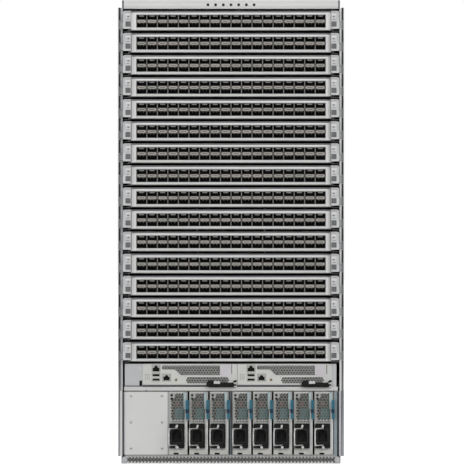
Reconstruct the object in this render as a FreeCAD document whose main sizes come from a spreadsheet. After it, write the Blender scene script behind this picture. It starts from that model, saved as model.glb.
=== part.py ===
import FreeCAD, Part
import os
import re
import Sketcher

# A 21-unit modular data switch: sixteen line cards over two supervisors and eight power
# supplies, with three fan trays, two system controllers and the fabric modules behind them.
# Millimetres. +Z is up, the front looks towards -Y and the origin is on the floor, under
# the middle of the whole.

SIZES = {
    # The whole
    "overall_high": 933.45,
    "overall_deep": 807.0,
    "front_reach": 31.5,
    "rear_reach": 26.0,
    # Clearances
    "slide_gap": 0.4,
    "swing_gap": 0.3,
    "pin_gap": 0.05,
    # Side walls, and the guides that the cards run on
    "wall_span": 445.2,
    "wall_sheet": 1.6,
    "wall_foot": 14.6,
    "wall_head": 15.45,
    "flange_wide": 4.2,
    "head_flange_wide": 16.0,
    "guide_wide": 18.0,
    "guide_sheet": 1.3,
    # Side brackets, with a slot for the toe of each card lever
    "bracket_wide": 5.0,
    "bracket_deep": 34.0,
    "bracket_web": 3.0,
    "bracket_skin": 1.5,
    "cam_slot_high": 14.6,
    "cam_slot_rise": 4.1,
    "toe_channel_deep": 11.5,
    # Top cover and lamp bezel
    "cover_inset": 3.1,
    "cover_sheet": 1.6,
    "bezel_deep": 16.0,
    "bezel_lip_high": 2.0,
    "bezel_slope_rise": 6.4,
    "bezel_slope_back": 3.0,
    "lamp_count": 7,
    "lamp_pitch": 15.5,
    "lamp_radius": 2.4,
    "lamp_rise": 5.8,
    "lamp_hole_deep": 8.0,
    # Base pan, intake grille and the deck under the supplies
    "pan_sheet": 1.6,
    "pan_side_high": 30.0,
    "grille_inset": 2.6,
    "grille_deep": 16.0,
    "grille_end": 13.0,
    "grille_rim": 2.0,
    "intake_count": 14,
    "intake_web": 3.2,
    "intake_point": 3.0,
    "deck_sheet": 2.0,
    "deck_top": 17.5,
    # Supply bay
    "bay_inset": 9.1,
    "post_deep": 30.0,
    "partition_thick": 3.0,
    "partition_back": 2.0,
    "supply_count": 8,
    "blank_gap": 2.8,
    "supply_gap": 3.59,
    "supply_end": 4.08,
    "supply_high": 126.5,
    "supply_behind": 189.5,
    "partition_room": 4.4,
    "partition_after": 3,
    # Supply face
    "frame_left": 4.2,
    "frame_right": 5.9,
    "intake_low": 69.0,
    "intake_high": 123.6,
    "intake_step": 15.5,
    "intake_step_left": 12.5,
    "mesh_deep": 5.0,
    "inlet_left": 0.7,
    "inlet_low": 12.7,
    "inlet_high": 50.4,
    "inlet_proud": 6.0,
    "inlet_corner": 3.5,
    "inlet_cut": 9.0,
    "socket_wide": 21.0,
    "socket_high": 26.0,
    "socket_deep": 18.0,
    # Supply latch
    "latch_lap": 2.5,
    "latch_wide": 5.2,
    "latch_low": 71.8,
    "latch_high": 38.0,
    "latch_reach": 15.0,
    "latch_back": 1.0,
    "latch_nose": 3.0,
    "latch_pin_radius": 1.0,
    "latch_pin_proud": 2.6,
    "lug_high": 2.7,
    # Supply bail
    "bail_reach": 26.0,
    "bail_rest": 55.0,
    "bail_wire": 2.0,
    "bail_bend": 4.0,
    "bail_pivot": 15.5,
    "bail_proud": 2.6,
    "bail_low": 19.4,
    "bail_high": 33.6,
    "boss_wide": 4.4,
    "boss_high": 4.4,
    # Blank panel over two bays
    "blank_wide": 85.0,
    "blank_sheet": 2.0,
    "blank_return": 20.0,
    # Shelf, supervisors and their fillers
    "shelf_low": 145.6,
    "shelf_bar_high": 8.4,
    "shelf_bar_deep": 12.0,
    "shelf_sheet": 2.0,
    "row_inset": 0.9,
    "filler_lap": 0.3,
    "super_gap": 0.7,
    "super_high": 46.2,
    "filler_sheet": 2.0,
    "filler_deep": 24.0,
    "left_filler_wide": 35.0,
    "right_filler_wide": 8.4,
    "vent_deep": 3.0,
    "high_mesh_left": 39.5,
    "high_mesh_end": 34.6,
    "high_mesh_low": 23.4,
    "high_mesh_step": 34.9,
    "high_mesh_top": 42.9,
    "high_mesh_step_in": 25.5,
    "mesh_slant": 13.0,
    "low_mesh_wide": 86.6,
    "low_mesh_end": 16.2,
    "low_mesh_low": 7.0,
    "low_mesh_high": 19.4,
    "low_mesh_point": 3.4,
    "net_jack_wide": 15.7,
    "net_jack_high": 12.1,
    "net_jack_deep": 20.0,
    "net_jack_left": 19.7,
    "net_jack_rise": 30.9,
    "console_jack_left": 41.2,
    "console_jack_rise": 11.6,
    "memory_slot_left": 20.8,
    "memory_slot_wide": 13.4,
    "memory_slot_high": 4.6,
    "memory_slot_rise": 12.0,
    "memory_slot_pitch": 8.8,
    "memory_slot_deep": 12.0,
    # Supervisor ejector
    "ejector_long": 58.0,
    "ejector_pivot_in": 3.6,
    "ejector_proud": 5.0,
    "ejector_thick": 4.0,
    "ejector_low": -1.0,
    "ejector_high": 13.8,
    "ejector_bar_high": 9.4,
    "ejector_clear": 3.8,
    "ejector_pin_radius": 1.2,
    "tongue_low": 2.4,
    "tongue_high": 2.8,
    "ear_high": 2.0,
    "ejector_ear_in": 2.1,
    "ejector_ear_out": 3.0,
    "ejector_ear_front": 2.5,
    "grip_wide": 18.0,
    "grip_rise": 4.0,
    "grip_toe": 6.0,
    # Line cards
    "slots_low": 203.2,
    "slot_pitch": 44.45,
    "card_rise": 1.95,
    "card_high": 39.4,
    "guide_overlap": 4.0,
    "card_lip_high": 3.8,
    "card_lip_back": 4.0,
    "lever_bay_deep": 14.0,
    "port_count": 18,
    "port_margin": 10.5,
    "port_web": 3.2,
    "port_low": 7.2,
    "port_high": 24.0,
    "port_deep": 30.0,
    "band_low": 15.3,
    "band_high": 6.8,
    "band_thick": 1.0,
    # Card levers
    "lever_wide": 16.0,
    "lever_low": 3.6,
    "lever_deep": 11.7,
    "lever_corner": 4.5,
    "lever_pivot_in": 5.8,
    "lever_pivot_proud": 5.0,
    "lever_pin_radius": 1.5,
    "lever_root": 2.0,
    "toe_reach": 8.0,
    "toe_low": 4.8,
    "toe_high": 13.2,
    "toe_proud": 0.5,
    "toe_deep": 3.0,
    "ear_low": 22.0,
    "ear_thick": 3.0,
    "ear_wide": 8.0,
    "ear_root": 1.0,
    "pin_seat": 2.0,
    # Fabric modules
    "fabric_count": 6,
    "fabric_inset": 2.0,
    "fabric_wide": 52.0,
    "fabric_deep": 127.0,
    "fabric_gap": 0.1,
    # Fan trays and the deck that parts them from the controllers
    "tray_count": 3,
    "tray_inset": 4.6,
    "tray_gap": 1.0,
    "tray_deep": 122.0,
    "rear_deck_sheet": 3.6,
    "fan_count": 3,
    "fan_margin": 10.15,
    "fan_wall": 6.8,
    "fan_window_corner": 34.0,
    "fan_well_deep": 48.0,
    "guard_thick": 3.0,
    "guard_bar": 6.0,
    "guard_lap": 1.0,
    "rotor_hub_radius": 28.0,
    "tip_gap": 4.0,
    "rotor_deep": 38.0,
    "spindle_radius": 4.0,
    "spindle_long": 6.0,
    "blade_count": 5,
    "blade_thick": 3.0,
    "blade_sweep": 15.0,
    "handle_high": 110.0,
    "handle_wide": 14.0,
    "handle_bar": 8.0,
    "handle_corner": 6.0,
    # System controllers
    "controller_inset": 6.0,
    "controller_gap": 2.0,
    "controller_deep": 250.0,
    "controller_space": 0.5,
    "controller_jack_left": 20.0,
    # Rear vent panel
    "vent_panel_sheet": 1.6,
    "vent_count": 10,
    "vent_wide": 34.0,
    "vent_high": 108.0,
    "vent_rise": 10.0,
}

# Places that follow from the sizes
PLACES = {
    "face": "(-overall_deep / 2 + front_reach)",
    "rear": "(overall_deep / 2 - rear_reach)",
    "body_deep": "(rear - face)",
    "wall_out": "(wall_span / 2)",
    "wall_in": "(wall_span / 2 - wall_sheet)",
    "flange_in": "(wall_span / 2 - flange_wide)",
    "wall_front": "(face + toe_channel_deep)",
    "wall_top": "(overall_high - wall_head)",
    "wall_high": "(wall_top - wall_foot)",
    "grille_high": "wall_foot",
    "cover_span": "(wall_span - 2 * cover_inset)",
    "grille_span": "(wall_span - 2 * grille_inset)",
    "bay_span": "(wall_span - 2 * bay_inset)",
    "bay_in": "(bay_span / 2)",
    "supply_first": "(bay_in - slide_gap - blank_wide - blank_gap)",
    "supply_pitch": "((bay_in + supply_first - supply_end - partition_room) / supply_count)",
    "supply_wide": "(supply_pitch - supply_gap)",
    "supply_deep": "(body_deep - supply_behind)",
    "supply_low": "(deck_top + slide_gap)",
    "supply_top": "(supply_low + supply_high)",
    "shelf_top": "(shelf_low + shelf_bar_high)",
    "super_low": "(shelf_top + slide_gap)",
    "super_row": "(bay_span - row_inset - left_filler_wide - right_filler_wide - 2 * slide_gap)",
    "super_wide": "((super_row - super_gap) / 2)",
    "super_pitch": "(super_wide + super_gap)",
    "super_first": "(bay_in + filler_lap - left_filler_wide - slide_gap)",
    "super_deep": "(body_deep - controller_deep - controller_space)",
    "high_mesh_right": "(super_wide - high_mesh_end)",
    "low_mesh_right": "(super_wide - low_mesh_end)",
    "low_mesh_left": "(low_mesh_right - low_mesh_wide)",
    "ejector_pivot": "(super_wide - ejector_pivot_in)",
    "ejector_left": "(ejector_pivot - ejector_long)",
    "card_count": "floor((wall_top - slots_low) / slot_pitch)",
    "card_deep": "(body_deep - tray_deep - fabric_gap - fabric_deep - slide_gap)",
    "card_low": "(slots_low + card_rise)",
    "card_end": "(face + card_deep)",
    "fabric_front": "(card_end + slide_gap)",
    "fabric_pitch": "((2 * (wall_in - guide_wide - fabric_inset) - fabric_wide) / (fabric_count - 1))",
    "tray_wide": "((2 * (wall_in - tray_inset) - (tray_count - 1) * tray_gap) / tray_count)",
    "tray_pitch": "(tray_wide + tray_gap)",
    "tray_front": "(rear - tray_deep)",
    "rail_top": "(slots_low + card_rise - slide_gap)",
    "tray_low": "(slots_low + card_rise)",
    "tray_high": "(card_count * slot_pitch - slot_pitch + card_high)",
    "fan_pitch": "((tray_high - fan_margin) / fan_count)",
    "fan_window": "(tray_wide - 2 * fan_wall)",
    "rotor_tip_radius": "(fan_window / 2 - tip_gap)",
    "controller_wide": "(wall_in - controller_inset - controller_gap / 2)",
    "controller_pitch": "(controller_wide + controller_gap)",
    "lever_out": "(flange_in - 2 * slide_gap)",
    "lever_pivot": "(lever_out - lever_pivot_in)",
    "card_face_span": "(2 * (lever_out - lever_wide - swing_gap))",
    "card_tray_span": "(2 * (wall_in - guide_wide + guide_overlap))",
    "port_pitch": "((card_face_span - 2 * port_margin) / port_count)",
    "port_wide": "(port_pitch - port_web)",
    "port_left": "(-port_pitch * port_count / 2 + (port_pitch - port_wide) / 2)",
    "intake_pitch": "((grille_span - 2 * grille_end) / intake_count)",
    "bail_front": "(face - inlet_proud - bail_proud)",
    "boss_low": "(bail_low - bail_wire / 2 - swing_gap - boss_high)",
    "boss_top": "(bail_low + bail_high + bail_wire / 2 + swing_gap)",
    "inlet_right": "(supply_wide - frame_right)",
    "latch_left": "(supply_wide - latch_lap)",
}

NAME = re.compile(r"[a-z][a-z_0-9]*")
doc = FreeCAD.newDocument("ChassisSwitch")
nodes = []


def make_sheet():
    """Puts every driving size into the document's spreadsheet."""
    sheet = doc.addObject("Spreadsheet::Sheet", "Sizes")
    for row, (name, value) in enumerate(SIZES.items(), 1):
        sheet.set(f"A{row}", name.replace("_", " "))
        sheet.set(f"B{row}", str(value))
        sheet.setAlias(f"B{row}", name)
    doc.recompute()


def bound(text):
    """An expression in which each size is read from the spreadsheet."""
    def widen(found):
        word = found.group()
        if word in PLACES:
            return bound(PLACES[word])
        return "Sizes." + word if word in SIZES else word
    return NAME.sub(widen, text)


def worked_out(text):
    """The number that an expression comes to."""
    return float(doc.Sizes.evalExpression(bound(text)))


def body(label):
    made = doc.addObject("PartDesign::Body", label)
    made.Label = label
    made.AllowCompound = True
    return made


def node(made):
    """Keeps a sub-part for the folder of parts."""
    nodes.append(made)
    return made


def place(thing, x="0", y="0", z="0"):
    for axis, value in zip("xyz", (x, y, z)):
        thing.setExpression("Placement.Base." + axis, bound(value))


def clone(label, source):
    """Another copy of a finished body, as a node of its own."""
    made = body(label)
    base = doc.addObject("PartDesign::FeatureBase", label + "_base")
    base.BaseFeature = source
    made.Group = [base]
    made.Tip = base
    return made


def origin_part(owner, role):
    return next(part for part in owner.Origin.OriginFeatures if part.Role == role)


def sketch(owner, role, offset):
    """A sketch on one of the body's own planes, moved along its normal."""
    made = owner.newObject("Sketcher::SketchObject", owner.Label + "_outline")
    made.AttachmentSupport = [(origin_part(owner, role), "")]
    made.MapMode = "FlatFace"
    made.setExpression("AttachmentOffset.Base.z", bound(offset))
    return made


def draw(drawing, points):
    """Draws a closed outline of straight sides through points given as expressions."""
    first = drawing.GeometryCount
    count = len(points)
    spots = [Part.makeCircle(10).valueAt(6.28 * n / count) for n in range(count)]
    for n in range(count):
        drawing.addGeometry(Part.LineSegment(spots[n], spots[(n + 1) % count]), False)
    for n in range(count):
        drawing.addConstraint(
            Sketcher.Constraint("Coincident", first + n, 2, first + (n + 1) % count, 1)
        )
    for n, (across, up) in enumerate(points):
        for kind, value, start in (("DistanceX", across, spots[n].x), ("DistanceY", up, spots[n].y)):
            held = drawing.addConstraint(Sketcher.Constraint(kind, -1, 1, first + n, 1, start))
            drawing.setExpression(f"Constraints[{held}]", bound(value))


def draw_circle(drawing, across, up, radius):
    circle = Part.Circle(FreeCAD.Vector(1, 1, 0), FreeCAD.Vector(0, 0, 1), 5)
    shape = drawing.addGeometry(circle, False)
    for kind, value in (("DistanceX", across), ("DistanceY", up)):
        held = drawing.addConstraint(Sketcher.Constraint(kind, -1, 1, shape, 3, 1.0))
        drawing.setExpression(f"Constraints[{held}]", bound(value))
    held = drawing.addConstraint(Sketcher.Constraint("Radius", shape, 5.0))
    drawing.setExpression(f"Constraints[{held}]", bound(radius))


def box_points(left, low, right, high):
    return [(left, low), (right, low), (right, high), (left, high)]


def ring_points(count, radius, turn):
    """Corners of an even-sided outline round the origin."""
    return [
        (f"{radius} * cos({turn} + 360 * {n} / {count})", f"{radius} * sin({turn} + 360 * {n} / {count})")
        for n in range(count)
    ]


def feature(owner, kind, drawing, length, reversed_way):
    made = owner.newObject("PartDesign::" + kind, owner.Label + "_" + kind.lower())
    made.Profile = drawing
    made.Reversed = reversed_way
    made.setExpression("Length", bound(length))
    drawing.Visibility = False
    owner.Tip = made
    return made


def front_pad(owner, outlines, front, depth):
    """A block whose outlines face the front, from the plane y = front towards the rear."""
    drawing = sketch(owner, "XZ_Plane", f"-({front})")
    for points in outlines:
        draw(drawing, points)
    return feature(owner, "Pad", drawing, depth, True)


def front_pocket(owner, outlines, front, depth):
    drawing = sketch(owner, "XZ_Plane", f"-({front})")
    for points in outlines:
        draw(drawing, points)
    return feature(owner, "Pocket", drawing, depth, False)


def front_round(owner, kind, circles, front, depth):
    """A round boss (Pad) or bore (Pocket) along Y, from the plane y = front."""
    drawing = sketch(owner, "XZ_Plane", f"-({front})")
    for across, up, radius in circles:
        draw_circle(drawing, across, up, radius)
    return feature(owner, kind, drawing, depth, kind == "Pad")


def level_pad(owner, outlines, low, height):
    """A block whose outlines are a plan, from the level z = low upwards."""
    drawing = sketch(owner, "XY_Plane", low)
    for points in outlines:
        draw(drawing, points)
    return feature(owner, "Pad", drawing, height, False)


def level_pocket(owner, outlines, low, height):
    drawing = sketch(owner, "XY_Plane", low)
    for points in outlines:
        draw(drawing, points)
    return feature(owner, "Pocket", drawing, height, True)


def level_round(owner, kind, across, back, radius, low, height):
    """An upright pin (Pad) or bore (Pocket) from the level z = low."""
    drawing = sketch(owner, "XY_Plane", low)
    draw_circle(drawing, across, back, radius)
    return feature(owner, kind, drawing, height, kind == "Pocket")


def side_pad(owner, points, left, width):
    """A block whose outline is a section seen from the side, from x = left to the right."""
    drawing = sketch(owner, "YZ_Plane", left)
    draw(drawing, points)
    return feature(owner, "Pad", drawing, width, False)


def repeat(owner, original, role, count, pitch):
    made = owner.newObject("PartDesign::LinearPattern", owner.Label + "_row")
    made.Originals = [original]
    made.Direction = (origin_part(owner, role), [""])
    made.setExpression("Occurrences", bound(count))
    made.setExpression("Length", bound(f"({pitch}) * ({count} - 1)"))
    owner.Tip = made
    return made


# ---- Chassis ----


def side_wall(label, hand):
    """Folded side wall with flanges front and rear and sixteen card guides.

    Its front edge is set back, which leaves a channel for the toes of the card levers."""
    wall = node(body(label))
    plan = [
        (f"{hand} * wall_out", "wall_front"),
        (f"{hand} * wall_out", "rear"),
        (f"{hand} * flange_in", "rear"),
        (f"{hand} * flange_in", "rear - wall_sheet"),
        (f"{hand} * wall_in", "rear - wall_sheet"),
        (f"{hand} * wall_in", "wall_front + wall_sheet"),
        (f"{hand} * flange_in", "wall_front + wall_sheet"),
        (f"{hand} * flange_in", "wall_front"),
    ]
    level_pad(wall, [plan], "wall_foot", "wall_high")
    head = box_points(
        f"{hand} * wall_out", "wall_top - wall_sheet",
        f"{hand} * (wall_in - head_flange_wide)", "wall_top",
    )
    front_pad(wall, [head], "face + bezel_deep", "body_deep - bezel_deep - wall_sheet")
    guide = box_points(
        f"{hand} * wall_in", "rail_top - guide_sheet",
        f"{hand} * (wall_in - guide_wide)", "rail_top",
    )
    first = front_pad(wall, [guide], "face + lever_bay_deep + wall_sheet", "card_deep - 2 * lever_bay_deep")
    repeat(wall, first, "Z_Axis", "card_count", "slot_pitch")


def side_bracket(label, hand):
    """Upright channel down the front edge, with a slot for the toe of each card lever."""
    bracket = node(body(label))
    outer = "(wall_out + bracket_wide)"
    plan = [
        (f"{hand} * wall_out", "face"),
        (f"{hand} * {outer}", "face"),
        (f"{hand} * {outer}", "face + bracket_deep"),
        (f"{hand} * wall_out", "face + bracket_deep"),
        (f"{hand} * wall_out", "face + bracket_deep - bracket_skin"),
        (f"{hand} * ({outer} - bracket_skin)", "face + bracket_deep - bracket_skin"),
        (f"{hand} * ({outer} - bracket_skin)", "face + bracket_web"),
        (f"{hand} * wall_out", "face + bracket_web"),
    ]
    level_pad(bracket, [plan], "wall_foot", "wall_high")
    slot = box_points(
        f"{hand} * (wall_out - 1)", "card_low + cam_slot_rise",
        f"{hand} * ({outer} - bracket_skin)", "card_low + cam_slot_rise + cam_slot_high",
    )
    first = front_pocket(bracket, [slot], "face", "bracket_web")
    repeat(bracket, first, "Z_Axis", "card_count", "slot_pitch")


def top_cover():
    """Inverted pan that closes the top behind the bezel."""
    cover = node(body("top_cover"))
    outer = "cover_span / 2"
    inner = "(cover_span / 2 - cover_sheet)"
    section = [
        (f"-{outer}", "wall_top"),
        (f"-{outer}", "overall_high"),
        (outer, "overall_high"),
        (outer, "wall_top"),
        (inner, "wall_top"),
        (inner, "overall_high - cover_sheet"),
        (f"-{inner}", "overall_high - cover_sheet"),
        (f"-{inner}", "wall_top"),
    ]
    front_pad(cover, [section], "face + bezel_deep", "body_deep - bezel_deep")


def top_bezel():
    """Bar over the cards, its upper half sloped back, with a row of lamp holes."""
    bezel = node(body("top_bezel"))
    section = [
        ("face", "wall_top"),
        ("face", "overall_high - bezel_slope_rise"),
        ("face + bezel_slope_back", "overall_high"),
        ("face + bezel_deep", "overall_high"),
        ("face + bezel_deep", "wall_top"),
    ]
    side_pad(bezel, section, "-cover_span / 2", "cover_span")
    lip = box_points("-flange_in + slide_gap", "wall_top - bezel_lip_high",
                     "flange_in - slide_gap", "wall_top")
    front_pad(bezel, [lip], "face + wall_sheet", "bezel_deep - wall_sheet")
    across, up = "-lamp_pitch * (lamp_count - 1) / 2", "wall_top + lamp_rise"
    hole = [(f"{across} + {x}", f"{up} + {z}") for x, z in ring_points(8, "lamp_radius", "22.5")]
    first = front_pocket(bezel, [hole], "face", "lamp_hole_deep")
    repeat(bezel, first, "X_Axis", "lamp_count", "lamp_pitch")


def base_pan():
    """Floor sheet with its sides turned up inside the walls."""
    pan = node(body("base_pan"))
    outer = "wall_in"
    inner = "(wall_in - pan_sheet)"
    section = [
        (f"-{outer}", "0"),
        (outer, "0"),
        (outer, "pan_side_high"),
        (inner, "pan_side_high"),
        (inner, "pan_sheet"),
        (f"-{inner}", "pan_sheet"),
        (f"-{inner}", "pan_side_high"),
        (f"-{outer}", "pan_side_high"),
    ]
    front_pad(pan, [section], "face + grille_deep", "body_deep - grille_deep - wall_sheet")


def intake_grille():
    """Low bar across the foot, pierced by a row of long six-sided air holes."""
    grille = node(body("intake_grille"))
    face = box_points("-grille_span / 2", "0", "grille_span / 2", "grille_high")
    front_pad(grille, [face], "face", "grille_deep")
    left = "(-grille_span / 2 + grille_end + intake_web / 2)"
    right = "(-grille_span / 2 + grille_end + intake_pitch - intake_web / 2)"
    middle = "(-grille_span / 2 + grille_end + intake_pitch / 2)"
    hole = [
        (left, "grille_rim + intake_point"),
        (middle, "grille_rim"),
        (right, "grille_rim + intake_point"),
        (right, "grille_high - grille_rim - intake_point"),
        (middle, "grille_high - grille_rim"),
        (left, "grille_high - grille_rim - intake_point"),
    ]
    first = front_pocket(grille, [hole], "face", "grille_deep")
    repeat(grille, first, "X_Axis", "intake_count", "intake_pitch")


def supply_bay():
    """Deck that the supplies stand on, with end posts, a partition and a filler strip."""
    bay = node(body("supply_bay"))
    side = "(wall_in - pan_sheet)"
    deck = box_points(f"-{side}", "deck_top - deck_sheet", side, "deck_top")
    front_pad(bay, [deck], "face + grille_deep", "body_deep - grille_deep - wall_sheet")
    top = "shelf_low - slide_gap"
    left_post = box_points(f"-{side}", "deck_top", "-bay_in", top)
    right_post = box_points("bay_in", "deck_top", side, top)
    front_pad(bay, [left_post, right_post], "face + grille_deep", "post_deep")
    strip_left = "(-supply_first + supply_pitch * supply_count + partition_room)"
    strip = box_points(f"{strip_left} - slide_gap", "deck_top", "bay_in", top)
    front_pad(bay, [strip], "face + slide_gap", "grille_deep + post_deep - slide_gap")
    before = "(-supply_first + supply_pitch * (partition_after - 1) + supply_wide)"
    after = "(-supply_first + supply_pitch * partition_after + partition_room)"
    wall = box_points(
        f"({before} + {after} - partition_thick) / 2", "deck_top",
        f"({before} + {after} + partition_thick) / 2", top,
    )
    front_pad(bay, [wall], "face + partition_back", "supply_deep")
    foot = box_points("-bay_in", "deck_top - deck_sheet", "bay_in", "deck_top")
    front_pad(bay, [foot], "face + slide_gap", "grille_deep")


def blank_panel():
    """Plate over the two unused supply bays, with returned edges."""
    panel = node(body("supply_blank_panel"))
    left = "(-bay_in + slide_gap)"
    right = "(-bay_in + slide_gap + blank_wide)"
    sheet = box_points(left, "supply_low", right, "supply_top")
    front_pad(panel, [sheet], "face", "blank_sheet")
    folds = [
        box_points(left, "supply_low", f"{left} + blank_sheet", "supply_top"),
        box_points(f"{right} - blank_sheet", "supply_low", right, "supply_top"),
    ]
    front_pad(panel, folds, "face + blank_sheet", "blank_return")


def supervisor_shelf():
    """Shelf across the chassis under the supervisors, with a deep bar at the front."""
    shelf = node(body("supervisor_shelf"))
    section = [
        ("face + slide_gap", "shelf_low"),
        ("face + shelf_bar_deep", "shelf_low"),
        ("face + shelf_bar_deep", "shelf_top - shelf_sheet"),
        ("face + grille_deep", "shelf_top - shelf_sheet"),
        ("face + grille_deep", "shelf_top"),
        ("face + slide_gap", "shelf_top"),
    ]
    side_pad(shelf, section, "-bay_in", "bay_span")
    plate = box_points("-wall_in", "shelf_top - shelf_sheet", "wall_in", "shelf_top")
    front_pad(shelf, [plate], "face + grille_deep", "body_deep - grille_deep - wall_sheet")


def supervisor_fillers():
    """Folded plates that close the row to the left and right of the supervisors."""
    left = node(body("supervisor_filler_left"))
    edge = "(-super_first - slide_gap)"
    sheet = box_points(f"{edge} - left_filler_wide", "shelf_top", edge, "super_low + super_high")
    front_pad(left, [sheet], "face", "filler_sheet")
    foot = box_points(f"{edge} - left_filler_wide", "shelf_top", edge, "shelf_top + filler_sheet")
    front_pad(left, [foot], "face + filler_sheet", "filler_deep")
    right = node(body("supervisor_filler_right"))
    edge = "(-super_first + super_pitch + super_wide + slide_gap)"
    sheet = box_points(edge, "shelf_top", f"{edge} + right_filler_wide", "super_low + super_high")
    front_pad(right, [sheet], "face", "filler_sheet")
    foot = box_points(edge, "shelf_top", f"{edge} + right_filler_wide", "shelf_top + filler_sheet")
    front_pad(right, [foot], "face + filler_sheet", "filler_deep")


def rear_vent_panel():
    """Sheet behind the supplies, with an outlet for each bay."""
    panel = node(body("rear_vent_panel"))
    side = "(wall_in - pan_sheet)"
    sheet = box_points(f"-{side}", "deck_top", side, "shelf_top - shelf_sheet")
    front = "rear - wall_sheet - vent_panel_sheet"
    front_pad(panel, [sheet], front, "vent_panel_sheet")
    left = "(-bay_span / 2 + (bay_span / vent_count - vent_wide) / 2)"
    vent = box_points(left, "deck_top + vent_rise", f"{left} + vent_wide",
                      "deck_top + vent_rise + vent_high")
    first = front_pocket(panel, [vent], front, "vent_panel_sheet")
    repeat(panel, first, "X_Axis", "vent_count", "bay_span / vent_count")


def rear_deck():
    """Plate that the fabric modules and the fan trays stand on."""
    plate = node(body("rear_deck"))
    bar = box_points("-wall_in", "rail_top - rear_deck_sheet", "wall_in", "rail_top")
    front_pad(plate, [bar], "fabric_front", "rear - fabric_front - wall_sheet")


def fabric_modules():
    """Upright switching modules between the cards and the fan trays."""
    modules = node(body("fabric_modules"))
    left = "(-fabric_pitch * (fabric_count - 1) / 2 - fabric_wide / 2)"
    block = box_points(left, "tray_low", f"{left} + fabric_wide", "tray_low + tray_high")
    first = front_pad(modules, [block], "fabric_front", "fabric_deep")
    repeat(modules, first, "X_Axis", "fabric_count", "fabric_pitch")


# ---- Line cards ----


def card_body(label):
    """Card tray and its face, pierced by a window for each column of two ports.

    The card's own frame has z = 0 at its underside."""
    card = body(label)
    half = "card_tray_span / 2"
    tray = box_points(f"-{half}", "0", half, "card_high")
    front_pad(card, [tray], "face + lever_bay_deep", "card_deep - lever_bay_deep")
    section = [
        ("face", "0"),
        ("face + lever_bay_deep", "0"),
        ("face + lever_bay_deep", "card_high"),
        ("face + card_lip_back", "card_high"),
        ("face + card_lip_back", "card_high - card_lip_high"),
        ("face", "card_high - card_lip_high"),
    ]
    side_pad(card, section, "-card_face_span / 2", "card_face_span")
    window = box_points("port_left", "port_low", "port_left + port_wide", "port_low + port_high")
    first = front_pocket(card, [window], "face", "port_deep")
    repeat(card, first, "X_Axis", "port_count", "port_pitch")
    return card


def lamp_band(label):
    """Bar of light guides that lies across the windows, between the two rows of ports."""
    band = body(label)
    side = "port_pitch * port_count / 2"
    front_pad(band, [box_points(f"-{side}", "band_low", side, "band_low + band_high")],
              "face - band_thick", "band_thick")
    return band


def lever_ears(card):
    """Ears beside the face that the levers turn on, each with a square notch for the pin."""
    ears, notches = [], []
    tip = "(face - lever_pivot_proud - ear_wide / 2)"
    root = "(face + lever_bay_deep / 2)"
    for hand in ("-1", "1"):
        out = f"{hand} * (lever_pivot + ear_wide / 2)"
        inner = f"{hand} * (lever_pivot - ear_wide / 2)"
        ears.append([
            (out, "face + lever_bay_deep"),
            (out, f"{tip} + ear_wide / 4"),
            (f"{hand} * (lever_pivot + ear_wide / 4)", tip),
            (f"{hand} * (lever_pivot - ear_wide / 4)", tip),
            (inner, f"{tip} + ear_wide / 4"),
            (inner, root),
            (f"{hand} * (card_face_span / 2 - ear_root)", root),
            (f"{hand} * (card_face_span / 2 - ear_root)", "face + lever_bay_deep"),
        ])
        hold = "(lever_pin_radius + pin_gap)"
        notches.append(box_points(
            f"{hand} * lever_pivot - {hold}", f"face - lever_pivot_proud - {hold}",
            f"{hand} * lever_pivot + {hold}", f"face - lever_pivot_proud + {hold}",
        ))
    level_pad(card, ears, "ear_low", "ear_thick")
    level_pocket(card, notches, "ear_low", "ear_thick")


def lever_outline(card, hand, joined):
    """Front outline of a lever and of the toe that reaches into the bracket's slot."""
    inner = f"(lever_out - lever_wide - {joined} * lever_root)"
    handle = [
        (f"{hand} * {inner}", "lever_low"),
        (f"{hand} * lever_out", "lever_low"),
        (f"{hand} * lever_out", "card_high - lever_corner"),
        (f"{hand} * (lever_out - lever_corner)", "card_high"),
        (f"{hand} * {inner}", "card_high"),
    ]
    front_pad(card, [handle], "face - swing_gap - lever_deep", f"lever_deep + {joined} * lever_root")
    toe = box_points(
        f"{hand} * (lever_out - lever_pivot_in / 2)", "toe_low",
        f"{hand} * (lever_out + toe_reach)", "toe_low + toe_high",
    )
    front_pad(card, [toe], "face - toe_proud", "toe_proud + toe_deep")


def card_lever(label, hand, height):
    """Ejector lever as a piece of its own: slotted over its ear, with a pin through it."""
    lever = node(body(label))
    lever_outline(lever, hand, 0)
    slot = box_points(
        f"{hand} * (lever_out - lever_wide - 1)", "face - lever_pivot_proud - ear_wide / 2 - 2 * swing_gap",
        f"{hand} * (lever_out + 1)", "face",
    )
    level_pocket(lever, [slot], "ear_low - swing_gap", "ear_thick + 2 * swing_gap")
    level_round(lever, "Pad", f"{hand} * lever_pivot", "face - lever_pivot_proud",
                "lever_pin_radius", "ear_low - pin_seat", "ear_thick + 2 * pin_seat")
    place(lever, z=height)


def joined_node(label, pieces):
    """A node whose pieces lie face to face, on a card that carries them."""
    gathered = doc.addObject("Part::Compound", label + "_pieces")
    gathered.Links = pieces
    return gathered


def line_cards():
    """Sixteen cards: the top one has its levers as separate pieces, the others carry theirs."""
    count = round(worked_out("card_count"))
    height = f"card_low + {count - 1} * slot_pitch"
    bare = card_body("top_card_tray")
    lever_ears(bare)
    top = node(clone("line_card_01", joined_node("top_card", [bare, lamp_band("top_card_band")])))
    place(top, z=height)
    card_lever("line_card_01_lever_left", "-1", height)
    card_lever("line_card_01_lever_right", "1", height)
    whole = card_body("card_tray")
    for hand in ("-1", "1"):
        lever_outline(whole, hand, 1)
    source = joined_node("card", [whole, lamp_band("card_band")])
    for number in range(2, count + 1):
        card = node(clone(f"line_card_{number:02d}", source))
        place(card, z=f"card_low + {count - number} * slot_pitch")


# ---- Supervisors ----


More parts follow.
